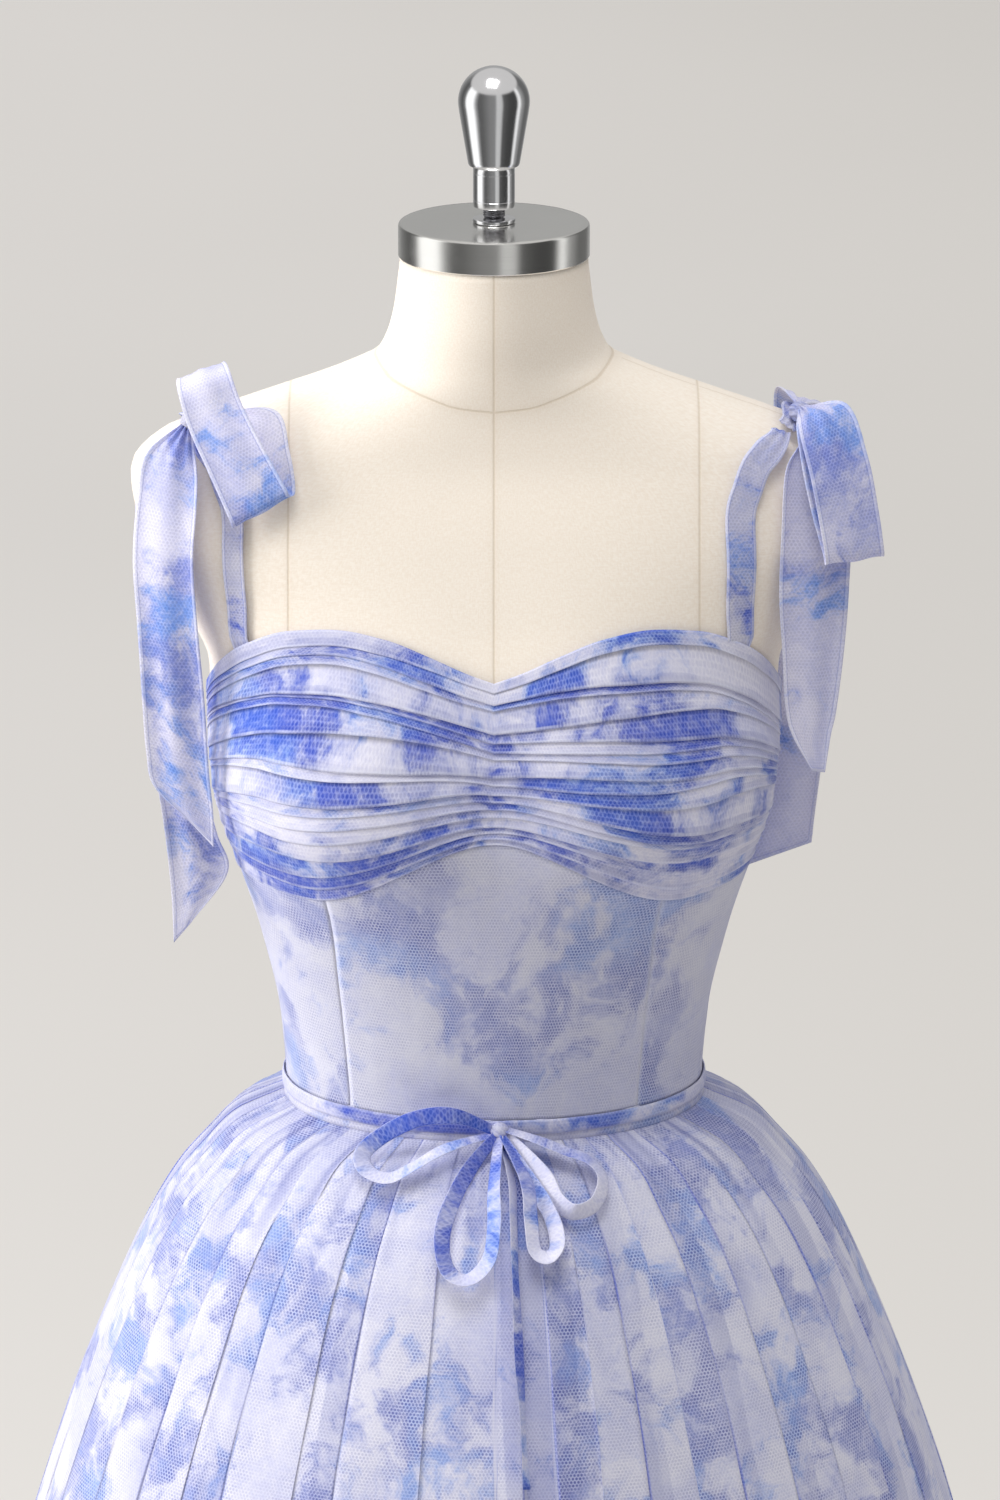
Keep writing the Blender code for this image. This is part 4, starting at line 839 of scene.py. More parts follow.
def makePanel(name, node, start, end, low, high, columns, rows, flat, clothOffset):
    @lru_cache(maxsize=None)
    def spot(column, row):
        across, up = column / columns, row / rows
        middle = mix(low(start(0)), high(start(0)), up)
        for _ in range(4):
            angle = mix(start(middle), end(middle), across)
            middle = mix(low(angle), high(angle), up)
        return angle, middle

    def fromEdge(angle, height):
        return min(abs(angle - start(height)), abs(end(height) - angle)) * bodyRadius(angle, height)

    def place(column, row):
        angle, height = spot(column, row)
        groove = 0.015 * exp(-((fromEdge(angle, height) / 0.12) ** 2))
        crease = 0.035 * wobble(angle * 5, height * 0.9) * smoothStep(9, 1, height)
        crease += 0.012 * wobble(angle * 16, height * 0.5)
        return onBody(angle, height, layers["bodice"] + bodiceSizes["panelLift"] + crease - groove)

    def clothPlace(column, row):
        angle, height = spot(column, row)
        return angle * 13.0 + 60 + clothOffset[0], height + 10 + clothOffset[1]

    def shade(column, row):
        return exp(-((fromEdge(*spot(column, row)) / 0.05) ** 2))

    mesh = clothGrid(columns, rows, place, clothPlace, {"seam": shade})
    faceOut(mesh)
    piece = finishPiece(name, mesh, midriffTulle, [node])
    addWall(piece, clothWall)


def makeBodice():
    def bottom(angle):
        return waistHeight(angle) + waist["bandAbove"] - 0.2

    def under(angle):
        return underbust(angle) + 0.05

    def princess(side):
        return lambda height: side * radians(princessAt(round(height, 3))[0])

    def fixed(angle):
        return lambda height: angle

    centreBack = pi - 0.006
    s = bodiceSizes
    # columns, rows and flat size
    front, side, back = (64, 44, s["midriffFlat"]), (28, 40, s["sideFlat"]), (50, 48, s["backFlat"])
    for name, node, start, end, high, cut, clothOffset in (
        ("midriffFront", "midriff_front", princess(-1), princess(1), under, front, (0.0, 0.0)),
        ("sideFrontLeft", "side_front_left", fixed(-sideSeam), princess(-1), under, side, (41.0, 17.0)),
        ("sideFrontRight", "side_front_right", princess(1), fixed(sideSeam), under, side, (-17.0, 9.0)),
        ("bodiceBackLeft", "bodice_back_left", fixed(-centreBack), fixed(-sideSeam), topEdge, back,
         (3.0, 14.0)),
        ("bodiceBackRight", "bodice_back_right", fixed(sideSeam), fixed(centreBack), topEdge, back,
         (-9.0, 21.0)),
    ):
        makePanel(name, node, start, end, bottom, high, *cut, clothOffset)


makeBodice()


print("stage: waist")
tieSizes = {
    "width": 0.95, "thick": 0.07, "endWidth": 0.6, "knotMiddle": (0.30, -9.13, -0.31),
    "knotHalf": (0.53, 0.44, 0.53), "endsHalf": (0.5, 0.42, 0.5),
    # in metres: the ribbon's flat width, its mean width along a loop, and the waistband's flat length
    "flatWidth": 0.0100, "meanWidth": 0.0080, "girth": 0.65,
}
tiePaths = {
    "waist_loop_left": (
        (-0.5, -9.20, -0.10), (-2.0, -9.75, 0.75), (-4.0, -9.6, 0.6), (-5.8, -9.4, -0.3), (-7.1, -9.8, -1.3),
        (-6.9, -10.7, -2.0), (-5.7, -11.4, -2.2), (-4.3, -11.1, -1.6), (-2.6, -10.4, -0.85),
        (-0.5, -9.35, -0.62)),
    "waist_loop_right": (
        (1.1, -9.20, -0.12), (2.4, -9.9, -0.55), (3.9, -10.4, -1.0), (5.2, -10.8, -1.4), (5.9, -11.5, -2.2),
        (5.5, -12.6, -3.2), (4.3, -13.2, -3.5), (3.3, -12.6, -2.9), (2.5, -11.3, -1.8), (1.05, -9.35, -0.68)),
    "waist_hanging_loop_left": (
        (-0.1, -9.75, -0.75), (-1.2, -10.9, -1.7), (-2.2, -12.6, -3.0), (-2.8, -14.2, -4.5),
        (-2.5, -15.4, -6.0), (-1.4, -15.9, -6.4), (-0.3, -15.3, -5.5), (0.0, -14.0, -4.0), (0.0, -12.3, -2.4),
        (0.15, -9.95, -0.95)),
    "waist_hanging_loop_right": (
        (0.75, -9.80, -0.65), (1.75, -12.0, -2.2), (2.0, -13.6, -3.8), (2.2, -14.8, -5.1), (2.9, -15.1, -5.4),
        (3.4, -14.6, -4.9), (3.2, -13.6, -3.9), (2.4, -12.2, -2.8), (0.52, -9.75, -0.98)),
    "waist_tie_tail": (
        (0.32, -9.20, -1.20), (0.95, -11.4, -2.3), (1.05, -13.7, -3.9), (1.15, -15.7, -6.2),
        (1.3, -17.6, -9.0), (1.5, -19.2, -12.5), (1.75, -20.6, -16.6)),
}


def nearKnot(point, middle, halfSizes):
    way = (point - middle) / cm
    share = Vector([part / size for part, size in zip(way, halfSizes)]).length
    return middle + way * (0.8 / share) * cm


def makeBand():
    columns = 220

    def band(low, high, off, bulge):
        def place(column, row):
            angle = ringAngle(column, columns)
            t = row / 6
            height = waistHeight(angle) + mix(low, high, t) + 0.03 * wobble(angle * 4, 3.3)
            out = off + bulge * sin(pi * t) + 0.02 * wobble(angle * 9, t * 2)
            return onBody(angle, height, out)
        return place

    def shade(column, row):
        return {0: 0.75, 1: 0.1, 5: 0.1, 6: 0.75}.get(row, 0.0)

    for name, node, low, high, off, bulge, start in (
        ("waistbandCloth", "waistband", -waist["bandBelow"], waist["bandAbove"], layers["bodice"] + 0.09,
         0.05, 0.0),
        ("waistTie", "waist_tie", waist["bandAbove"] - waist["tieWidth"], waist["bandAbove"],
         layers["bodice"] + layers["wall"] + 0.10, 0.07, 37.0),
    ):
        mesh = clothGrid(columns, 6, band(low, high, off, bulge),
                         lambda c, r: (c / columns * 64 + start, r / 6 * (high - low) + start),
                         {"rimShade": shade}, ring=True)
        piece = finishPiece(name, mesh, tieTulle if name == "waistTie" else bandTulle,
                            [node])
        addWall(piece, ribbonWall)


makeBand()


def makeTieRibbon(name, node, bends, tilt, looseEnd=False):
    middle = metres(*tieSizes["knotMiddle"])
    points = [metres(*bend) for bend in bends]
    points[0] = nearKnot(points[0], middle, tieSizes["endsHalf"])
    if not looseEnd:
        points[-1] = nearKnot(points[-1], middle, tieSizes["endsHalf"])
    rows, around = 14 * (len(bends) - 1), 12
    seed = len(name) * 1.7 + bends[1][0]
    lengths = [0.0]
    for row in range(rows):
        step = (alongPath(points, (row + 1) / rows) - alongPath(points, row / rows)).length
        lengths.append(lengths[-1] + step / cm)

    def place(column, row):
        t = row / rows
        here = alongPath(points, t)
        along = pathWay(points, t)
        out = Vector((here.x, here.y, 0.09)).normalized()
        flat = along.cross(out).normalized()
        turn = tilt + 0.25 * wobble(seed, t * 5)
        across = flat * cos(turn) + out * sin(turn)
        normal = across.cross(along).normalized()
        openEnd = 1.0 if looseEnd and t > 0.5 else min(1.0, 7 * (1 - t))
        share = min(1.0, 7 * t, openEnd)
        width = mix(tieSizes["endWidth"], tieSizes["width"], share) * (1 + 0.10 * wobble(seed + 3, t * 9))
        turnRound = 2 * pi * (column % around) / around
        flatten = abs(cos(turnRound)) ** 0.6 * (1 if cos(turnRound) > 0 else -1)
        thick = tieSizes["thick"] * (1 + 0.3 * wobble(seed + 9, t * 14))
        return here + across * flatten * width / 2 * cm + normal * sin(turnRound) * thick / 2 * cm

    def rim(column, row):
        turnRound = 2 * pi * (column % around) / around
        return 0.8 if abs(cos(turnRound)) > 0.9 else 0.0

    mesh = clothGrid(around, rows, place, lambda c, r: (c / around * 1.8 + seed * 9, lengths[r]),
                     {"rimShade": rim}, ring=True)
    closeEnds(mesh)
    return finishPiece(name, mesh, tieTulle, [node]), lengths[-1]


def makeKnot(name, node, middle, halfSizes, material, turns=3.0, slant=0.6):
    mesh = bmesh.new()
    bmesh.ops.create_uvsphere(mesh, u_segments=56, v_segments=40, radius=1.0)
    uv = mesh.loops.layers.uv.new("cloth")
    rim = mesh.verts.layers.float.new("rim")
    rimShade = mesh.verts.layers.float.new("rimShade")
    for vertex in mesh.verts:
        point = vertex.co.copy()
        ridge = sin(turns * pi * (point.z + point.x * slant)
                    + 1.2 * wobble(point.x * 1.5, point.y * 1.5, point.z))
        fold = 1 - 0.10 * (0.5 - 0.5 * ridge) + 0.03 * wobble(point.x * 4, point.y * 4, point.z * 4)
        vertex[rim] = 0.01
        vertex[rimShade] = 0.6 * max(0.0, -ridge)
        vertex.co = middle + Vector([part * size for part, size in zip(point, halfSizes)]) * fold * cm
    for face in mesh.faces:
        for loop in face.loops:
            place = loop.vert.co
            loop[uv].uv = (place.x + place.y * 0.5 + 0.7, place.z + place.y * 0.3)
    bmesh.ops.recalc_face_normals(mesh, faces=mesh.faces)
    return finishPiece(name, mesh, material, [node])


def makeWaistBow():
    tilt = radians(32)
    s = tieSizes
    knot = makeKnot("waistTieKnot", "waist_tie_knot", metres(*s["knotMiddle"]), s["knotHalf"], tieTulle)
    for name, node, tilted, loose in (
        ("waistLoopLeft", "waist_loop_left", tilt, False),
        ("waistLoopRight", "waist_loop_right", tilt, False),
        ("waistHangingLoopLeft", "waist_hanging_loop_left", tilt, False),
        ("waistHangingLoopRight", "waist_hanging_loop_right", tilt, False),
        ("waistTieTail", "waist_tie_tail", radians(60), True),
    ):
        piece, length = makeTieRibbon(name, node, tiePaths[node], tilted, loose)


makeWaistBow()


print("stage: shoulders")
strapSizes = {
    "front": ((-64.6, 26.65), (-64.3, 29.0), (-65.0, 31.6), (-67.4, 34.0), (-72.5, 35.9), (-79.3, 36.9)),
    "back": ((-118.0, 20.95), (-117.5, 24.5), (-116.5, 28.5), (-115.0, 31.8), (-111.5, 34.3), (-105.0, 36.1),
             (-97.0, 37.0), (-89.0, 37.33), (-81.0, 37.0)),
    "leftWidth": 1.2, "rightWidth": 1.65, "rightTurn": 2.0, "lift": 0.08, "riseLeft": 0.10, "riseRight": 0.60,
    "riseFrom": 0.55,
}


def makeStrap(name, node, path, width, turn, rise, seed):
    side = 1 if path[0][0] > 0 else -1
    points = [Vector((radians(angle - side * turn), height, 0)) for angle, height in path]
    columns, rows = 10, 12 * (len(path) - 1)

    def place(column, row):
        t = row / rows
        up = max(0.0, (t - strapSizes["riseFrom"]) / (1 - strapSizes["riseFrom"]))
        off = layers["bodice"] + strapSizes["lift"] + rise * up * up * (3 - 2 * up)
        here = alongPath(points, t)
        after, before = alongPath(points, min(t + 0.01, 1)), alongPath(points, max(t - 0.01, 0))
        along = onBody(after.x, after.y, off) - onBody(before.x, before.y, off)
        across = along.cross(bodyNormal(here.x, here.y)).normalized()
        squeeze = 1 - 0.35 * smoothStep(0.86, 1.0, t)
        share = column / columns - 0.5
        gather = 0.05 * sin(share * 16) * smoothStep(0.7, 1.0, t) + 0.02 * wobble(share * 4 + seed, t * 6)
        point = onBody(here.x, here.y, off + gather) + across * share * width * squeeze * cm
        if row:
            return point
        angle = atan2(point.x, sectionAt(here.y)[3] * cm - point.y)
        return onBody(angle, topEdge(angle) - 0.35, layers["bodice"] + 0.02)

    def rim(column, row):
        return (0.5 - abs(column / columns - 0.5)) * width * cm

    def clothPlace(column, row):
        return column / columns * width + seed * 7, row / rows * 14 + seed * 3

    mesh = clothGrid(columns, rows, place, clothPlace, {"rim": rim})
    piece = finishPiece(name, mesh, strapTulle, [node])
    addWall(piece, clothWall, 0.0)
    length = sum((place(columns // 2, r + 1) - place(columns // 2, r)).length for r in range(rows))


def makeStraps():
    s = strapSizes
    mirrored = {key: tuple((-angle, height) for angle, height in s[key]) for key in ("front", "back")}
    makeStrap("strapFrontLeft", "strap_front_left", s["front"], s["leftWidth"], 0, s["riseLeft"], 1)
    makeStrap("strapBackLeft", "strap_back_left", s["back"], s["leftWidth"], 0, s["riseLeft"], 2)
    makeStrap("strapFrontRight", "strap_front_right", mirrored["front"], s["rightWidth"], s["rightTurn"],
              s["riseRight"], 3)
    makeStrap("strapBackRight", "strap_back_right", mirrored["back"], s["rightWidth"], s["rightTurn"],
              s["riseRight"], 4)


makeStraps()

bowSizes = {
    # each knot's middle and half sizes
    "knots": {"left": ((-16.17, -3.04, 37.89), (0.74, 0.64, 0.64)),
              "right": ((16.45, -2.64, 38.35), (0.64, 0.68, 0.57))},
    "foldRows": 10, "columns": 28, "wall": 0.045,
}
# each ribbon from the knot to its end: the left and the right edge of one row after another
bowRibbons = {
    "bow_left_front_tail": (
        ((-17.3, -3.5, 37.9), (-16.5, -4.1, 37.3)), ((-18.6, -4.4, 36.5), (-15.9, -5.4, 35.9)),
        ((-19.1, -4.8, 34.4), (-15.9, -6.3, 33.9)), ((-19.4, -5.2, 31.0), (-16.1, -6.8, 31.0)),
        ((-19.2, -5.4, 27.3), (-15.9, -6.7, 27.3)), ((-19.0, -5.5, 23.4), (-15.6, -6.3, 23.2)),
        ((-18.8, -5.6, 20.2), (-15.4, -6.2, 19.2)), ((-18.4, -5.6, 18.2), (-15.2, -6.1, 16.8)),
        ((-16.4, -5.8, 16.2), (-15.2, -6.0, 14.9))),
    "bow_left_back_tail": (
        ((-17.6, -2.3, 37.3), (-16.9, -3.0, 36.9)), ((-18.9, -3.3, 35.2), (-17.0, -4.6, 34.8)),
        ((-19.3, -3.8, 32.0), (-17.1, -5.2, 31.8)), ((-19.0, -4.2, 28.0), (-17.0, -5.2, 28.0)),
        ((-18.8, -4.3, 24.0), (-16.3, -4.8, 24.0)), ((-18.4, -4.2, 19.0), (-15.9, -4.6, 19.0)),
        ((-17.9, -4.1, 15.0), (-15.1, -4.3, 15.2)), ((-17.6, -4.0, 11.6), (-14.5, -4.1, 12.9)),
        ((-17.5, -4.0, 8.8), (-16.5, -4.0, 10.0))),
    "bow_left_hanging_loop": (
        ((-16.4, -2.0, 38.5), (-15.8, -1.9, 38.8)), ((-16.9, -2.1, 39.7), (-14.7, -2.0, 40.6)),
        ((-17.0, -3.2, 40.3), (-14.4, -3.1, 41.2)), ((-16.9, -4.5, 39.9), (-14.1, -4.4, 41.0)),
        ((-16.3, -5.5, 38.1), (-13.5, -5.1, 39.5)), ((-15.2, -6.6, 35.9), (-12.4, -6.2, 37.5)),
        ((-14.1, -7.5, 33.6), (-11.1, -7.1, 35.3)), ((-13.9, -7.2, 33.1), (-10.9, -6.8, 34.8)),
        ((-13.7, -6.7, 33.4), (-10.6, -6.5, 35.0)), ((-14.1, -6.3, 35.0), (-10.9, -5.8, 36.9)),
        ((-14.9, -5.1, 37.0), (-11.8, -4.3, 38.9)), ((-15.5, -3.2, 38.0), (-14.8, -2.6, 38.9))),
    "bow_left_standing_loop": (
        ((-16.6, -3.9, 38.5), (-15.9, -3.9, 38.8)), ((-16.7, -3.9, 39.0), (-14.7, -3.9, 39.9)),
        ((-16.7, -3.7, 39.6), (-14.5, -3.7, 40.5)), ((-16.7, -3.2, 39.8), (-14.5, -3.2, 40.6)),
        ((-16.7, -2.7, 39.4), (-14.7, -2.7, 40.2)), ((-16.5, -2.5, 38.5), (-15.8, -2.5, 38.8))),
    "bow_right_hanging_loop": (
        ((16.15, -3.5, 39.05), (16.7, -3.35, 39.15)), ((16.3, -5.3, 38.0), (18.9, -4.0, 39.1)),
        ((16.9, -6.8, 35.7), (20.0, -5.2, 36.5)), ((17.4, -7.3, 33.2), (20.6, -5.8, 33.6)),
        ((17.7, -7.4, 31.5), (20.9, -5.9, 31.6)), ((17.7, -6.9, 31.0), (20.9, -5.5, 31.1)),
        ((17.6, -6.4, 31.5), (20.8, -5.0, 31.6)), ((17.0, -6.2, 33.6), (20.2, -4.7, 34.0)),
        ((16.5, -5.7, 35.8), (19.6, -4.1, 36.5)), ((16.2, -4.6, 37.7), (18.3, -3.7, 38.4)),
        ((16.2, -3.6, 38.45), (16.75, -3.45, 38.55))),
    "bow_right_front_tail": (
        ((16.5, -3.5, 37.95), (17.15, -3.1, 37.9)), ((16.4, -4.6, 37.15), (17.9, -3.7, 36.9)),
        ((15.6, -5.6, 35.8), (18.3, -4.3, 35.6)), ((15.4, -6.1, 32.5), (19.1, -4.2, 32.0)),
        ((15.3, -6.4, 29.0), (19.1, -4.8, 29.0)), ((15.5, -6.3, 26.0), (18.9, -5.1, 26.0)),
        ((15.7, -6.1, 22.8), (18.5, -5.3, 22.5)), ((16.1, -6.0, 21.2), (18.2, -5.4, 21.0)),
        ((17.2, -5.7, 19.1), (17.9, -5.6, 19.0))),
    "bow_right_back_tail": (
        ((16.1, -1.6, 38.9), (16.7, -1.8, 38.95)), ((15.4, 3.4, 38.2), (17.9, 1.4, 37.7)),
        ((15.4, 6.8, 35.7), (18.9, 4.2, 35.7)), ((15.6, 8.1, 32.0), (19.2, 5.4, 32.4)),
        ((15.6, 8.4, 28.0), (19.1, 5.6, 28.0)), ((15.2, 7.7, 23.0), (18.8, 5.1, 23.0)),
        ((14.7, 6.4, 18.0), (18.3, 4.2, 18.0)), ((14.1, 5.6, 13.0), (17.8, 3.6, 14.0)),
        ((13.6, 5.1, 10.2), (17.6, 3.2, 12.3))),
}


def makeBowRibbon(name, node, knotSide, loop, seed):
    ribbonRows = bowRibbons[node]
    middle, halfSizes = bowSizes["knots"][knotSide]
    middle = metres(*middle)
    columns, rows = bowSizes["columns"], bowSizes["foldRows"] * (len(ribbonRows) - 1)
    left = [metres(*row[0]) for row in ribbonRows]
    right = [metres(*row[1]) for row in ribbonRows]
    for edge in (left, right):
        edge[0] = nearKnot(edge[0], middle, halfSizes)
        if loop:
            edge[-1] = nearKnot(edge[-1], middle, halfSizes)

    def place(column, row):
        t, across = row / rows, column / columns
        a, b = alongPath(left, t), alongPath(right, t)
        normal = (b - a).cross(pathWay(left, t)).normalized()
        nearEnd = max(0.0, 1 - 5 * t, (1 - 5 * (1 - t)) if loop else 0.0)
        gathers = 0.10 * nearEnd * sin(2 * pi * (across * 3.5 + 0.3 * wobble(seed, t * 3)))
        swell = (0.05 if loop else 0.11) * min(1.0, 6 * t, 6 * (1 - t))
        ripple = swell * sin(2 * pi * 1.5 * across)
        ripple += swell * 0.7 * wobble(across * 2.2 + seed * 3, t * 4.5)
        return a.lerp(b, across) + normal * (ripple + gathers) * cm

    mids = [place(columns // 2, r) for r in range(rows + 1)]
    lengths = [0.0]
    for before, after in zip(mids, mids[1:]):
        lengths.append(lengths[-1] + (after - before).length / cm)
    widths = [(place(columns, r) - place(0, r)).length / cm for r in range(rows + 1)]

    def rim(column, row):
        side = min(column, columns - column) / columns * max(widths[row], 2.2)
        end = 9.0 if loop else lengths[-1] - lengths[row]
        return min(side, end) * cm

    def clothPlace(column, row):
        return column / columns * 3.6 + seed * 11, -lengths[row] + seed * 17

    mesh = clothGrid(columns, rows, place, clothPlace, {"rim": rim})
    piece = finishPiece(name, mesh, ribbonTulle, [node])
    addWall(piece, bowSizes["wall"], 0.0)


def makeBows():
    knots = {}
    for side, name in (("left", "shoulderKnotLeft"), ("right", "shoulderKnotRight")):
        middle, halfSizes = bowSizes["knots"][side]
        knots[side] = makeKnot(name, "shoulder_knot_" + side, metres(*middle), halfSizes, strapTulle, 2.6,
                               0.8 if side == "left" else -0.5)
    for name, node, side, loop, seed, extra in (
        ("bowLeftStandingLoop", "bow_left_standing_loop", "left", True, 1, [knots["left"]]),
        ("bowLeftHangingLoop", "bow_left_hanging_loop", "left", True, 2, []),
        ("bowLeftFrontTail", "bow_left_front_tail", "left", False, 9.3, []),
        ("bowLeftBackTail", "bow_left_back_tail", "left", False, 4, []),
        ("bowRightHangingLoop", "bow_right_hanging_loop", "right", True, 5, [knots["right"]]),
        ("bowRightFrontTail", "bow_right_front_tail", "right", False, 6, []),
        ("bowRightBackTail", "bow_right_back_tail", "right", False, 7, []),
    ):
        makeBowRibbon(name, node, side, loop, seed)


makeBows()


print("stage: skirt")
skirtSizes = {
    "flare": ((0.0, 0.0), (0.7, 1.41), (1.7, 2.94), (3.1, 4.22), (5.1, 5.90), (8.1, 7.65), (12.1, 9.48),
              (17.1, 11.49), (23.1, 13.56), (31.1, 15.9), (44.5, 19.0)),
    "standOff": 0.58, "tucked": 0.14, "whole": 44.2, "hem": -45.0, "gapAngle": 7.5, "gapHalf": 2.7,
    "pleatsBack": 12, "depthWaist": 0.06, "depthHem": 0.17, "rows": 72, "gatherDepth": 0.10,
    "gatherLength": 4.5,
    # flat size and area of the front and of each back, in metres
    "frontCut": ((1.05, 0.50), 0.44), "backCut": ((0.56, 0.50), 0.23),
    # the inverted gap between the two middle folds: share of the way across, and how far out
    "gap": ((0.10, -0.25), (0.22, -0.35), (0.36, -0.33), (0.5, -0.31), (0.64, -0.33), (0.78, -0.35),
            (0.90, -0.25)),
    # painted shade on the recessed gap between the two middle folds
    "gapShade": 0.55,
    # each fold: degrees round from the front, width of the double strip, how strong it is
    "foldsLeft": ((4.8, 1.0, 0.9), (-12, 0.8, 0.3), (-25.2, 1.3, 0.9), (-32, 0.9, 0.3), (-43.2, 1.6, 0.65),
                  (-50.5, 1.0, 0.3), (-58, 2.2, 0.7), (-67, 1.2, 0.35), (-76, 1.2, 0.7), (-83.5, 1.0, 0.5)),
    "foldsRight": ((10.2, 1.4, 1.0), (17.5, 0.9, 0.35), (24.7, 1.5, 1.0), (32.5, 1.0, 0.4), (39.9, 1.2, 0.85),
                   (49, 1.4, 0.8), (58, 1.0, 0.4), (67, 1.6, 0.9), (76, 1.2, 0.7), (83.5, 1.0, 0.5)),
    # the fold's lip: degrees from its edge, and how far out
    "lip": ((0.02, 0.02), (0.05, 0.35), (0.08, 0.7), (0.12, 0.92), (0.22, 0.99), (0.4, 1.0)),
    "slope": ((0.0, 1.0), (0.14, 0.975), (0.27, 0.90), (0.41, 0.79), (0.56, 0.62), (0.72, 0.40), (0.87, 0.18),
              (1.0, 0.04)),
}
flareAt = smoothTable(skirtSizes["flare"])
slopeAt = smoothTable(skirtSizes["slope"])


def skirtOff(angle, level, depth, drop):
    stretch = mix(1.04, 0.98, 0.5 + 0.5 * cos(angle))
    full = drop / skirtSizes["whole"]
    pleat = mix(skirtSizes["depthWaist"], skirtSizes["depthHem"], full ** 0.8) * depth
    standOff = mix(skirtSizes["tucked"], skirtSizes["standOff"], smoothStep(0.25, 1.3, drop))
    return standOff + flareAt(round(drop, 4))[0] * stretch - pleat * (1 - level)


def pleatColumns(folds, end, firstIndex):
    columns = []
    side = 1 if end > folds[0][0] else -1
    for i, (edge, strip, strength) in enumerate(folds):
        width = abs((folds[i + 1][0] if i + 1 < len(folds) else end) - edge)
        spots = list(skirtSizes["lip"])
        steps = max(6, round(width / 0.9))
        spots += [(mix(0.7, width, k / steps), slopeAt(round(mix(0.7 / width, 1.0, k / steps), 5))[0])
                  for k in range(steps + 1)]
        for away, level in spots:
            columns.append({"edge": radians(edge), "angle": radians(edge + side * away), "level": level,
                            "strength": strength, "strip": strip * cm, "index": firstIndex + i, "gap": 0.0,
                            "away": radians(away)})
    return columns


def makeSkirtPanel(name, node, columns, flat, area):
    rows = skirtSizes["rows"]
    s = skirtSizes

    def dropOf(row):
        # rows stand closer at the waist, where the cloth turns out
        return s["whole"] * (1 - row / rows) ** 1.35

    def strengthAt(column, row):
        # weak folds run out before the hem, and every fold softens here and there
        strength = columns[column]["strength"]
        full = dropOf(row) / s["whole"]
        fade = 1 - smoothStep(0.1, 0.34, full) * (1 - smoothStep(0.45, 0.65, strength))
        soft = smoothStep(-0.42, 0.08, wobble(columns[column]["index"] * 5.3 + 0.7, full * 6.5))
        return strength * fade * mix(0.3, 1.0, soft)

    def gather(angle, drop):
        return wobble(angle * 24, drop * 0.10, 3.0) * exp(-((drop / s["gatherLength"]) ** 1.5))

    def place(column, row):
        c, drop = columns[column], dropOf(row)
        full = drop / s["whole"]
        sway = 0.022 * wobble(c["index"] * 3.1, full * 2.6) * full ** 0.7
        angle = c["angle"] + (sway + 0.003 * wobble(c["index"] * 7.7, full * 9))
        off = skirtOff(angle, c["level"], strengthAt(column, row), drop)
        waves = 0.26 * wobble(angle * 5, full * 3.0) + 0.09 * wobble(angle * 14, full * 9)
        off += waves * full * (0.3 + c["level"])
        off += s["gatherDepth"] * gather(angle, drop) * smoothStep(0.3, 0.9, drop)
        off -= 0.36 * full + 0.05
        top = waistHeight(c["angle"]) - waist["bandBelow"] - layers["seam"] + 0.22
        height = mix(top, s["hem"], full)
        point = bodyPoint(angle, 0.0, off)
        return Vector((point.x, point.y, (height + waist["aboveFloor"]) * cm))

    lengths = [0.0]
    for row in range(rows, 0, -1):
        high, low = place(len(columns) // 2, row), place(len(columns) // 2, row - 1)
        lengths.append(lengths[-1] + (high - low).length / cm)
    lengths = lengths[::-1]

    def fromEdge(column, row):
        c = columns[column]
        return c["away"] * (skirtOff(c["angle"], 1.0, 1.0, dropOf(row)) + 9.5)

    def clothPlace(column, row):
        c = columns[column]
        side = 1 if c["angle"] >= 0 else -1
        start = abs(c["edge"]) * 28 + c["index"] * 2.5
        return side * (start + fromEdge(column, row)) + 300, -lengths[row]

    def shade(column, row):
        # painted shade: the recessed middle gap and the creases of the gathers below the waist are darkened
        creaseShade = max(0.0, -gather(columns[column]["angle"], dropOf(row)) - 0.08) * 2.2
        return max(columns[column]["gap"], creaseShade)

    mesh = clothGrid(len(columns) - 1, rows, place, clothPlace, {
        "fold": lambda c, r: max(0.0, fromEdge(c, r)) * cm, "crease": strengthAt,
        "strip": lambda c, r: columns[c]["strip"], "shade": shade,
    })
    piece = finishPiece(name, mesh, skirtTulle, [node])
    addWall(piece, ribbonWall)


def makeSkirt():
    s = skirtSizes
    left, right = s["gapAngle"] - s["gapHalf"], s["gapAngle"] + s["gapHalf"]
    leftColumns = pleatColumns(s["foldsLeft"], -89.9, 1)
    rightColumns = pleatColumns(s["foldsRight"], 89.9, 20)
    inner = [{"edge": radians(left), "angle": radians(mix(left, right, share)), "level": level,
              "strength": 1.0, "index": 0, "gap": s["gapShade"], "strip": 0.0,
              "away": radians(right - left) * (0.2 + share)} for share, level in s["gap"]]
    makeSkirtPanel("skirtFront", "skirt_front", leftColumns[::-1] + inner + rightColumns, *s["frontCut"])
    backFolds = []
    for i in range(s["pleatsBack"]):
        uneven = 0.24 * sin(2.4 * i + 1.0) if i else 0.0
        backFolds.append((mix(90.1, 179.9, (i + uneven) / s["pleatsBack"]), 1.1 + 0.4 * sin(3.3 * i),
                          0.72 + 0.28 * sin(1.9 * i + 0.6)))
    backRight = pleatColumns(backFolds, 179.9, 40)
    backLeft = pleatColumns([(-edge, strip, strength) for edge, strip, strength in backFolds], -179.9, 60)
    makeSkirtPanel("skirtBackRight", "skirt_back_right", backRight, *s["backCut"])
    makeSkirtPanel("skirtBackLeft", "skirt_back_left", backLeft[::-1], *s["backCut"])


makeSkirt()


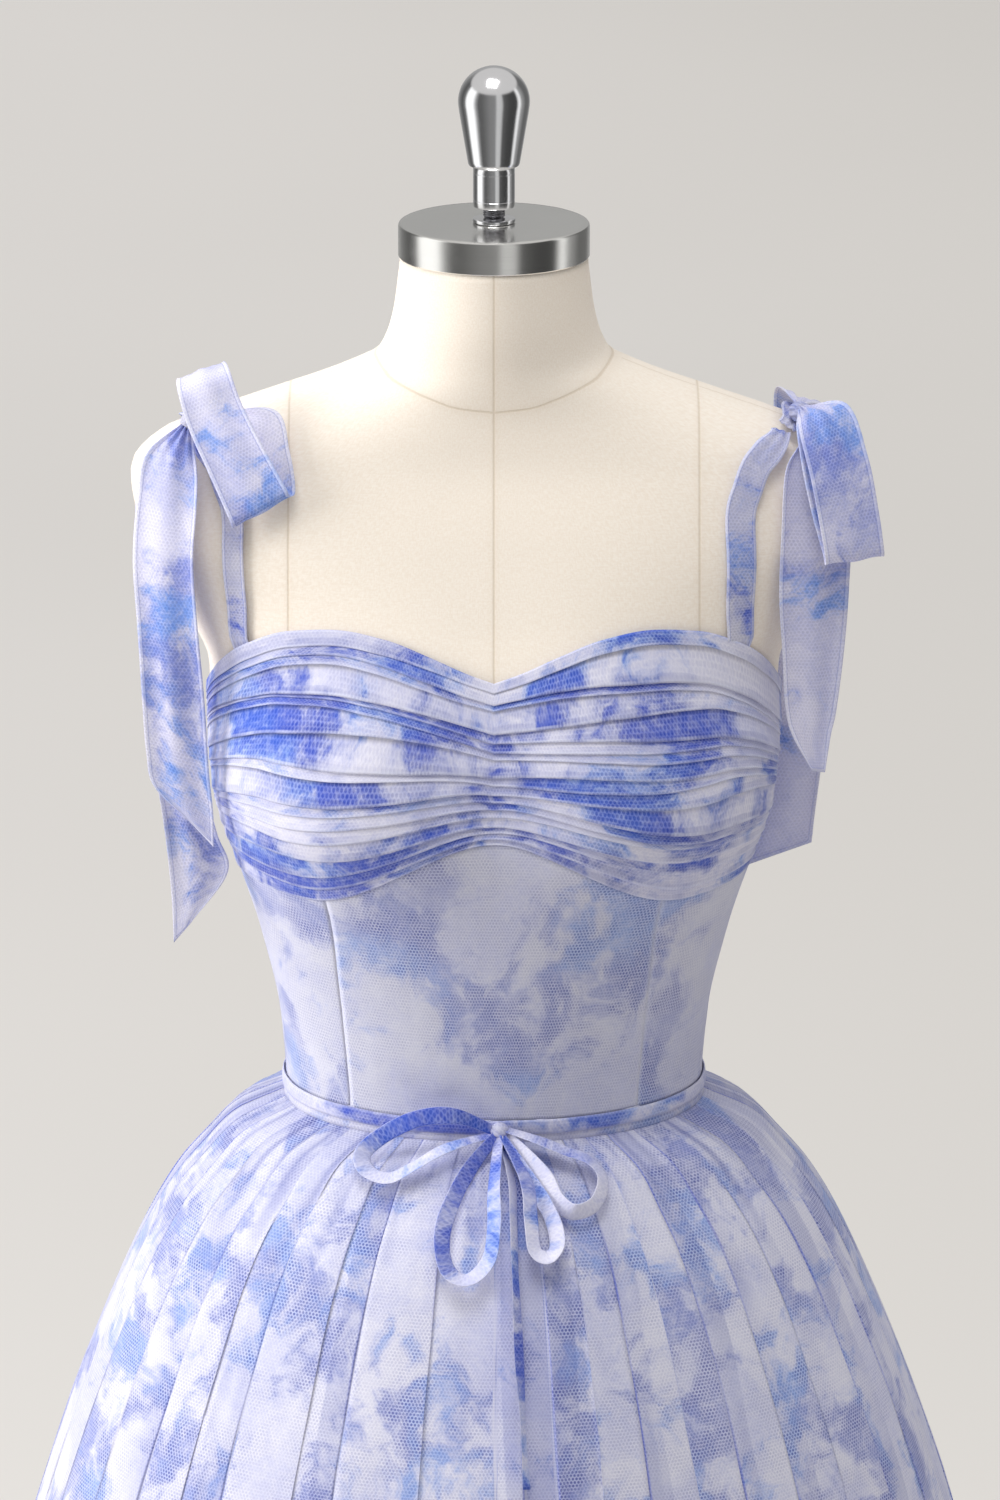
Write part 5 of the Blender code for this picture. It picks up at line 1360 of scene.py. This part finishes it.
print("stage: zip")
zipSizes = {
    "top": 19.2, "pitch": 0.15, "bottom": 0.9, "underSlider": 0.4, "barY": 10.66,
    "tooth": (0.16, 0.09, 0.09), "toothShift": 0.02,
    # the slider's two plates: how far out from the cloth, and size
    "plates": ((0.06, (0.62, 0.10, 1.0)), (0.20, (0.56, 0.11, 0.94))), "plateBevel": 0.04,
    # the two lugs that hold the bar: how far sideways, how far in from the bar, size
    "lug": (0.22, 0.12, (0.11, 0.36, 0.32)), "lugBevel": 0.03,
    # the pull's neck and its plate: how far under the bar, size, bevel, share of the width left at the top
    "tab": ((0.27, (0.20, 0.11, 0.18), 0.02, 1.0), (1.28, (0.48, 0.11, 1.88), 0.045, 0.55)),
    # in metres: the bar, and the pull's ring round it
    "barRadius": 0.0007, "barLength": 0.0044, "ringRadius": 0.0020, "ringHole": 0.0011, "ringThick": 0.0022,
}


def addBox(mesh, middle, size, bevel=0.0, topShare=1.0):
    made = bmesh.ops.create_cube(mesh, size=1.0)["verts"]
    bmesh.ops.scale(mesh, verts=made, vec=Vector(size) * cm)
    for vertex in made:
        if vertex.co.z > 0:
            vertex.co.x *= topShare
    bmesh.ops.translate(mesh, verts=made, vec=metres(*middle))
    if bevel:
        edges = list({edge for vertex in made for edge in vertex.link_edges})
        bmesh.ops.bevel(mesh, geom=edges, offset=bevel * cm, affect="EDGES", segments=2, profile=0.5,
                        material=-1)


def makeZip():
    s = zipSizes
    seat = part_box("zip_slider")[0].y / cm
    barY, barZ = s["barY"], s["top"]
    sideways = Matrix.Rotation(pi / 2, 3, "Y")
    mesh = bmesh.new()
    for out, size in s["plates"]:
        addBox(mesh, (0, seat + out, barZ), size, s["plateBevel"])
    aside, inward, size = s["lug"]
    for side in (-aside, aside):
        addBox(mesh, (side, barY - inward, barZ), size, s["lugBevel"])
    made = bmesh.ops.create_cone(mesh, cap_ends=True, segments=20, radius1=s["barRadius"],
                                 radius2=s["barRadius"], depth=s["barLength"])["verts"]
    bmesh.ops.rotate(mesh, verts=made, cent=(0, 0, 0), matrix=sideways)
    bmesh.ops.translate(mesh, verts=made, vec=metres(0, barY, barZ))
    sharpen(finishPiece("zipSlider", mesh, zipLacquer, ["zip_slider"]))
    # the pull tab: a ring on the bar, a neck and a plate that narrows upwards
    mesh = bmesh.new()
    bmesh.ops.create_circle(mesh, cap_ends=False, segments=24, radius=s["ringRadius"])
    outer = list(mesh.edges)
    inner = bmesh.ops.create_circle(mesh, cap_ends=False, segments=24, radius=s["ringHole"])["verts"]
    innerEdges = list({edge for vertex in inner for edge in vertex.link_edges})
    bmesh.ops.bridge_loops(mesh, edges=outer + innerEdges)
    made = bmesh.ops.extrude_face_region(mesh, geom=list(mesh.faces))["geom"]
    bmesh.ops.translate(mesh, verts=[g for g in made if isinstance(g, bmesh.types.BMVert)],
                        vec=(0, 0, s["ringThick"]))
    bmesh.ops.translate(mesh, verts=mesh.verts, vec=(0, 0, -s["ringThick"] / 2))
    bmesh.ops.rotate(mesh, verts=mesh.verts, cent=(0, 0, 0), matrix=sideways)
    bmesh.ops.translate(mesh, verts=mesh.verts, vec=metres(0, barY, barZ))
    for under, size, bevel, topShare in s["tab"]:
        addBox(mesh, (0, barY, barZ - under), size, bevel, topShare)
    bmesh.ops.recalc_face_normals(mesh, faces=mesh.faces)
    sharpen(finishPiece("zipPull", mesh, zipLacquer, ["zip_pull"], body="pull"))
    # coil teeth between the two back edges, up to the slider
    mesh = bmesh.new()
    for i in range(int((s["top"] - s["underSlider"] - s["bottom"]) / s["pitch"])):
        height = s["bottom"] + i * s["pitch"]
        radius = bodyRadius(pi, height) + layers["bodice"]
        shift = s["toothShift"]
        addBox(mesh, (shift if i % 2 else -shift, radius + shift, height), s["tooth"])
    sharpen(finishPiece("zipTeeth", mesh, zipLacquer))


makeZip()


print("stage: camera and light")
viewSizes = {"distance": 4.0, "height": 2.4173, "pitch": 16.586, "lens": 182.76, "shift": 6 / 1500}


def makeCamera():
    data = bpy.data.cameras.new("photoCamera")
    data.sensor_width = 36.0
    data.lens = viewSizes["lens"]
    data.shift_x = viewSizes["shift"]
    data.clip_end = 200
    camera = bpy.data.objects.new("photoCamera", data)
    camera.location = (0, -viewSizes["distance"], viewSizes["height"])
    camera.rotation_euler = (radians(90 - viewSizes["pitch"]), 0, 0)
    collection.objects.link(camera)
    bpy.context.scene.camera = camera


def makeFloor():
    mesh = bmesh.new()
    bmesh.ops.create_grid(mesh, x_segments=2, y_segments=2, size=40)
    bmesh.ops.translate(mesh, verts=mesh.verts, vec=(0, 0, -0.0005))
    data = bpy.data.meshes.new("floor")
    mesh.to_mesh(data)
    mesh.free()
    material, tree, shader = newMaterial("floorPaint")
    spot = addNode(tree, "TexCoord").outputs["Object"]
    tone = noiseOf(tree, spot, 0.35, 2.0)
    parts = addNode(tree, "SeparateXYZ", {0: spot}).outputs
    # painted light and shade: the floor is lighter to the left, towards the key light, and darker near the
    # camera, where the lamps light it more strongly
    colour = colourMix(tree, ramp(tree, parts[0], -1.2, 1.2), rgb(246, 243, 240), rgb(236, 233, 229))
    colour = colourMix(tree, ramp(tree, parts[1], 1.0, 4.6, 0.45, 0.0), colour, rgb(196, 194, 191))
    colour = colourMix(tree, ramp(tree, tone, 0.3, 0.7, 0.0, 0.15), colour, rgb(214, 211, 207))
    tree.links.new(colour, shader.inputs["Base Color"])
    setShader(shader, Roughness=0.9, Specular_IOR_Level=0.1)
    data.materials.append(material)
    floor = bpy.data.objects.new("floor", data)
    floor.visible_glossy = False  # the metal shows the studio's walls instead
    collection.objects.link(floor)


def makeLight(name, place, target, size, power, colour, glossy):
    data = bpy.data.lights.new(name, "AREA")
    data.shape = "RECTANGLE"
    data.size, data.size_y = size
    data.energy = power
    data.color = colour
    data.spread = radians(120)
    light = bpy.data.objects.new(name, data)
    light.location = place
    light.rotation_euler = (Vector(target) - Vector(place)).to_track_quat("-Z", "Y").to_euler()
    light.visible_glossy = glossy
    light.visible_camera = False
    collection.objects.link(light)


def makeWorld():
    world = bpy.data.worlds.new("studio")
    bpy.context.scene.world = world
    world.use_nodes = True
    tree = world.node_tree
    background = tree.nodes["Background"]
    way = addNode(tree, "TexCoord").outputs["Generated"]
    parts = addNode(tree, "SeparateXYZ", {0: way}).outputs
    turn = maths(tree, "ARCTAN2", parts[0], times(tree, parts[1], -1.0))
    share = timesPlus(tree, turn, 0.5 / pi, 0.5)
    bands = tree.nodes.new("ShaderNodeValToRGB")
    # the studio's walls as the metal shows them: degrees round, and how bright
    stops = ((-180, 0.40), (-160, 0.36), (-146, 0.22), (-122, 0.09), (-108, 0.2), (-98, 1.2), (-72, 1.2),
             (-62, 0.4), (-52, 0.11), (-40, 0.12), (-14, 0.22), (4, 0.24), (11, 0.6), (25, 0.55), (32, 0.1),
             (54, 0.06), (78, 0.05), (87, 0.9), (93, 0.9), (100, 0.35), (122, 0.13), (146, 0.15), (160, 0.36),
             (180, 0.40))
    bandRamp = bands.color_ramp
    while len(bandRamp.elements) > 1:
        bandRamp.elements.remove(bandRamp.elements[-1])
    for i, (degrees, value) in enumerate(stops):
        spotAt = degrees / 360 + 0.5
        stop = bandRamp.elements[0] if i == 0 else bandRamp.elements.new(spotAt)
        stop.position = spotAt
        stop.color = (value, value, value * 0.99, 1.0)
    tree.links.new(share, bands.inputs[0])
    upper = ramp(tree, parts[2], 0.46, 0.58)
    glossy = colourMix(tree, upper, bands.outputs[0], (0.62, 0.61, 0.60, 1.0))
    path = addNode(tree, "LightPath").outputs
    soft = timesPlus(tree, maths(tree, "MAXIMUM", parts[2], 0.0), 0.62, 0.235)
    soft = colourMix(tree, soft, (0.0, 0.0, 0.0, 1.0), (1.0, 0.99, 0.975, 1.0))
    colour = colourMix(tree, path["Is Glossy Ray"], soft, glossy)
    colour = colourMix(tree, path["Is Camera Ray"], colour, rgb(186, 183, 178))
    tree.links.new(colour, background.inputs["Color"])


makeCamera()
makeFloor()
for lightValues in (
    # name, place, target, size, power, colour, seen in the metal
    ("keySoftbox", (-3.8, -0.4, 2.25), (0, 0, 1.15), (2.4, 2.4), 74, (1.0, 0.985, 0.965), False),
    ("topSoftbox", (-0.3, -1.3, 5.6), (0, 0, 1.1), (2.2, 2.2), 38, (1.0, 1.0, 1.0), True),
    ("floorWash", (0, 7.6, 4.0), (0, 7.6, 0), (6.0, 4.0), 13, (1.0, 1.0, 1.0), False),
):
    makeLight(*lightValues)
makeWorld()
bpy.context.scene.view_settings.view_transform = "Standard"
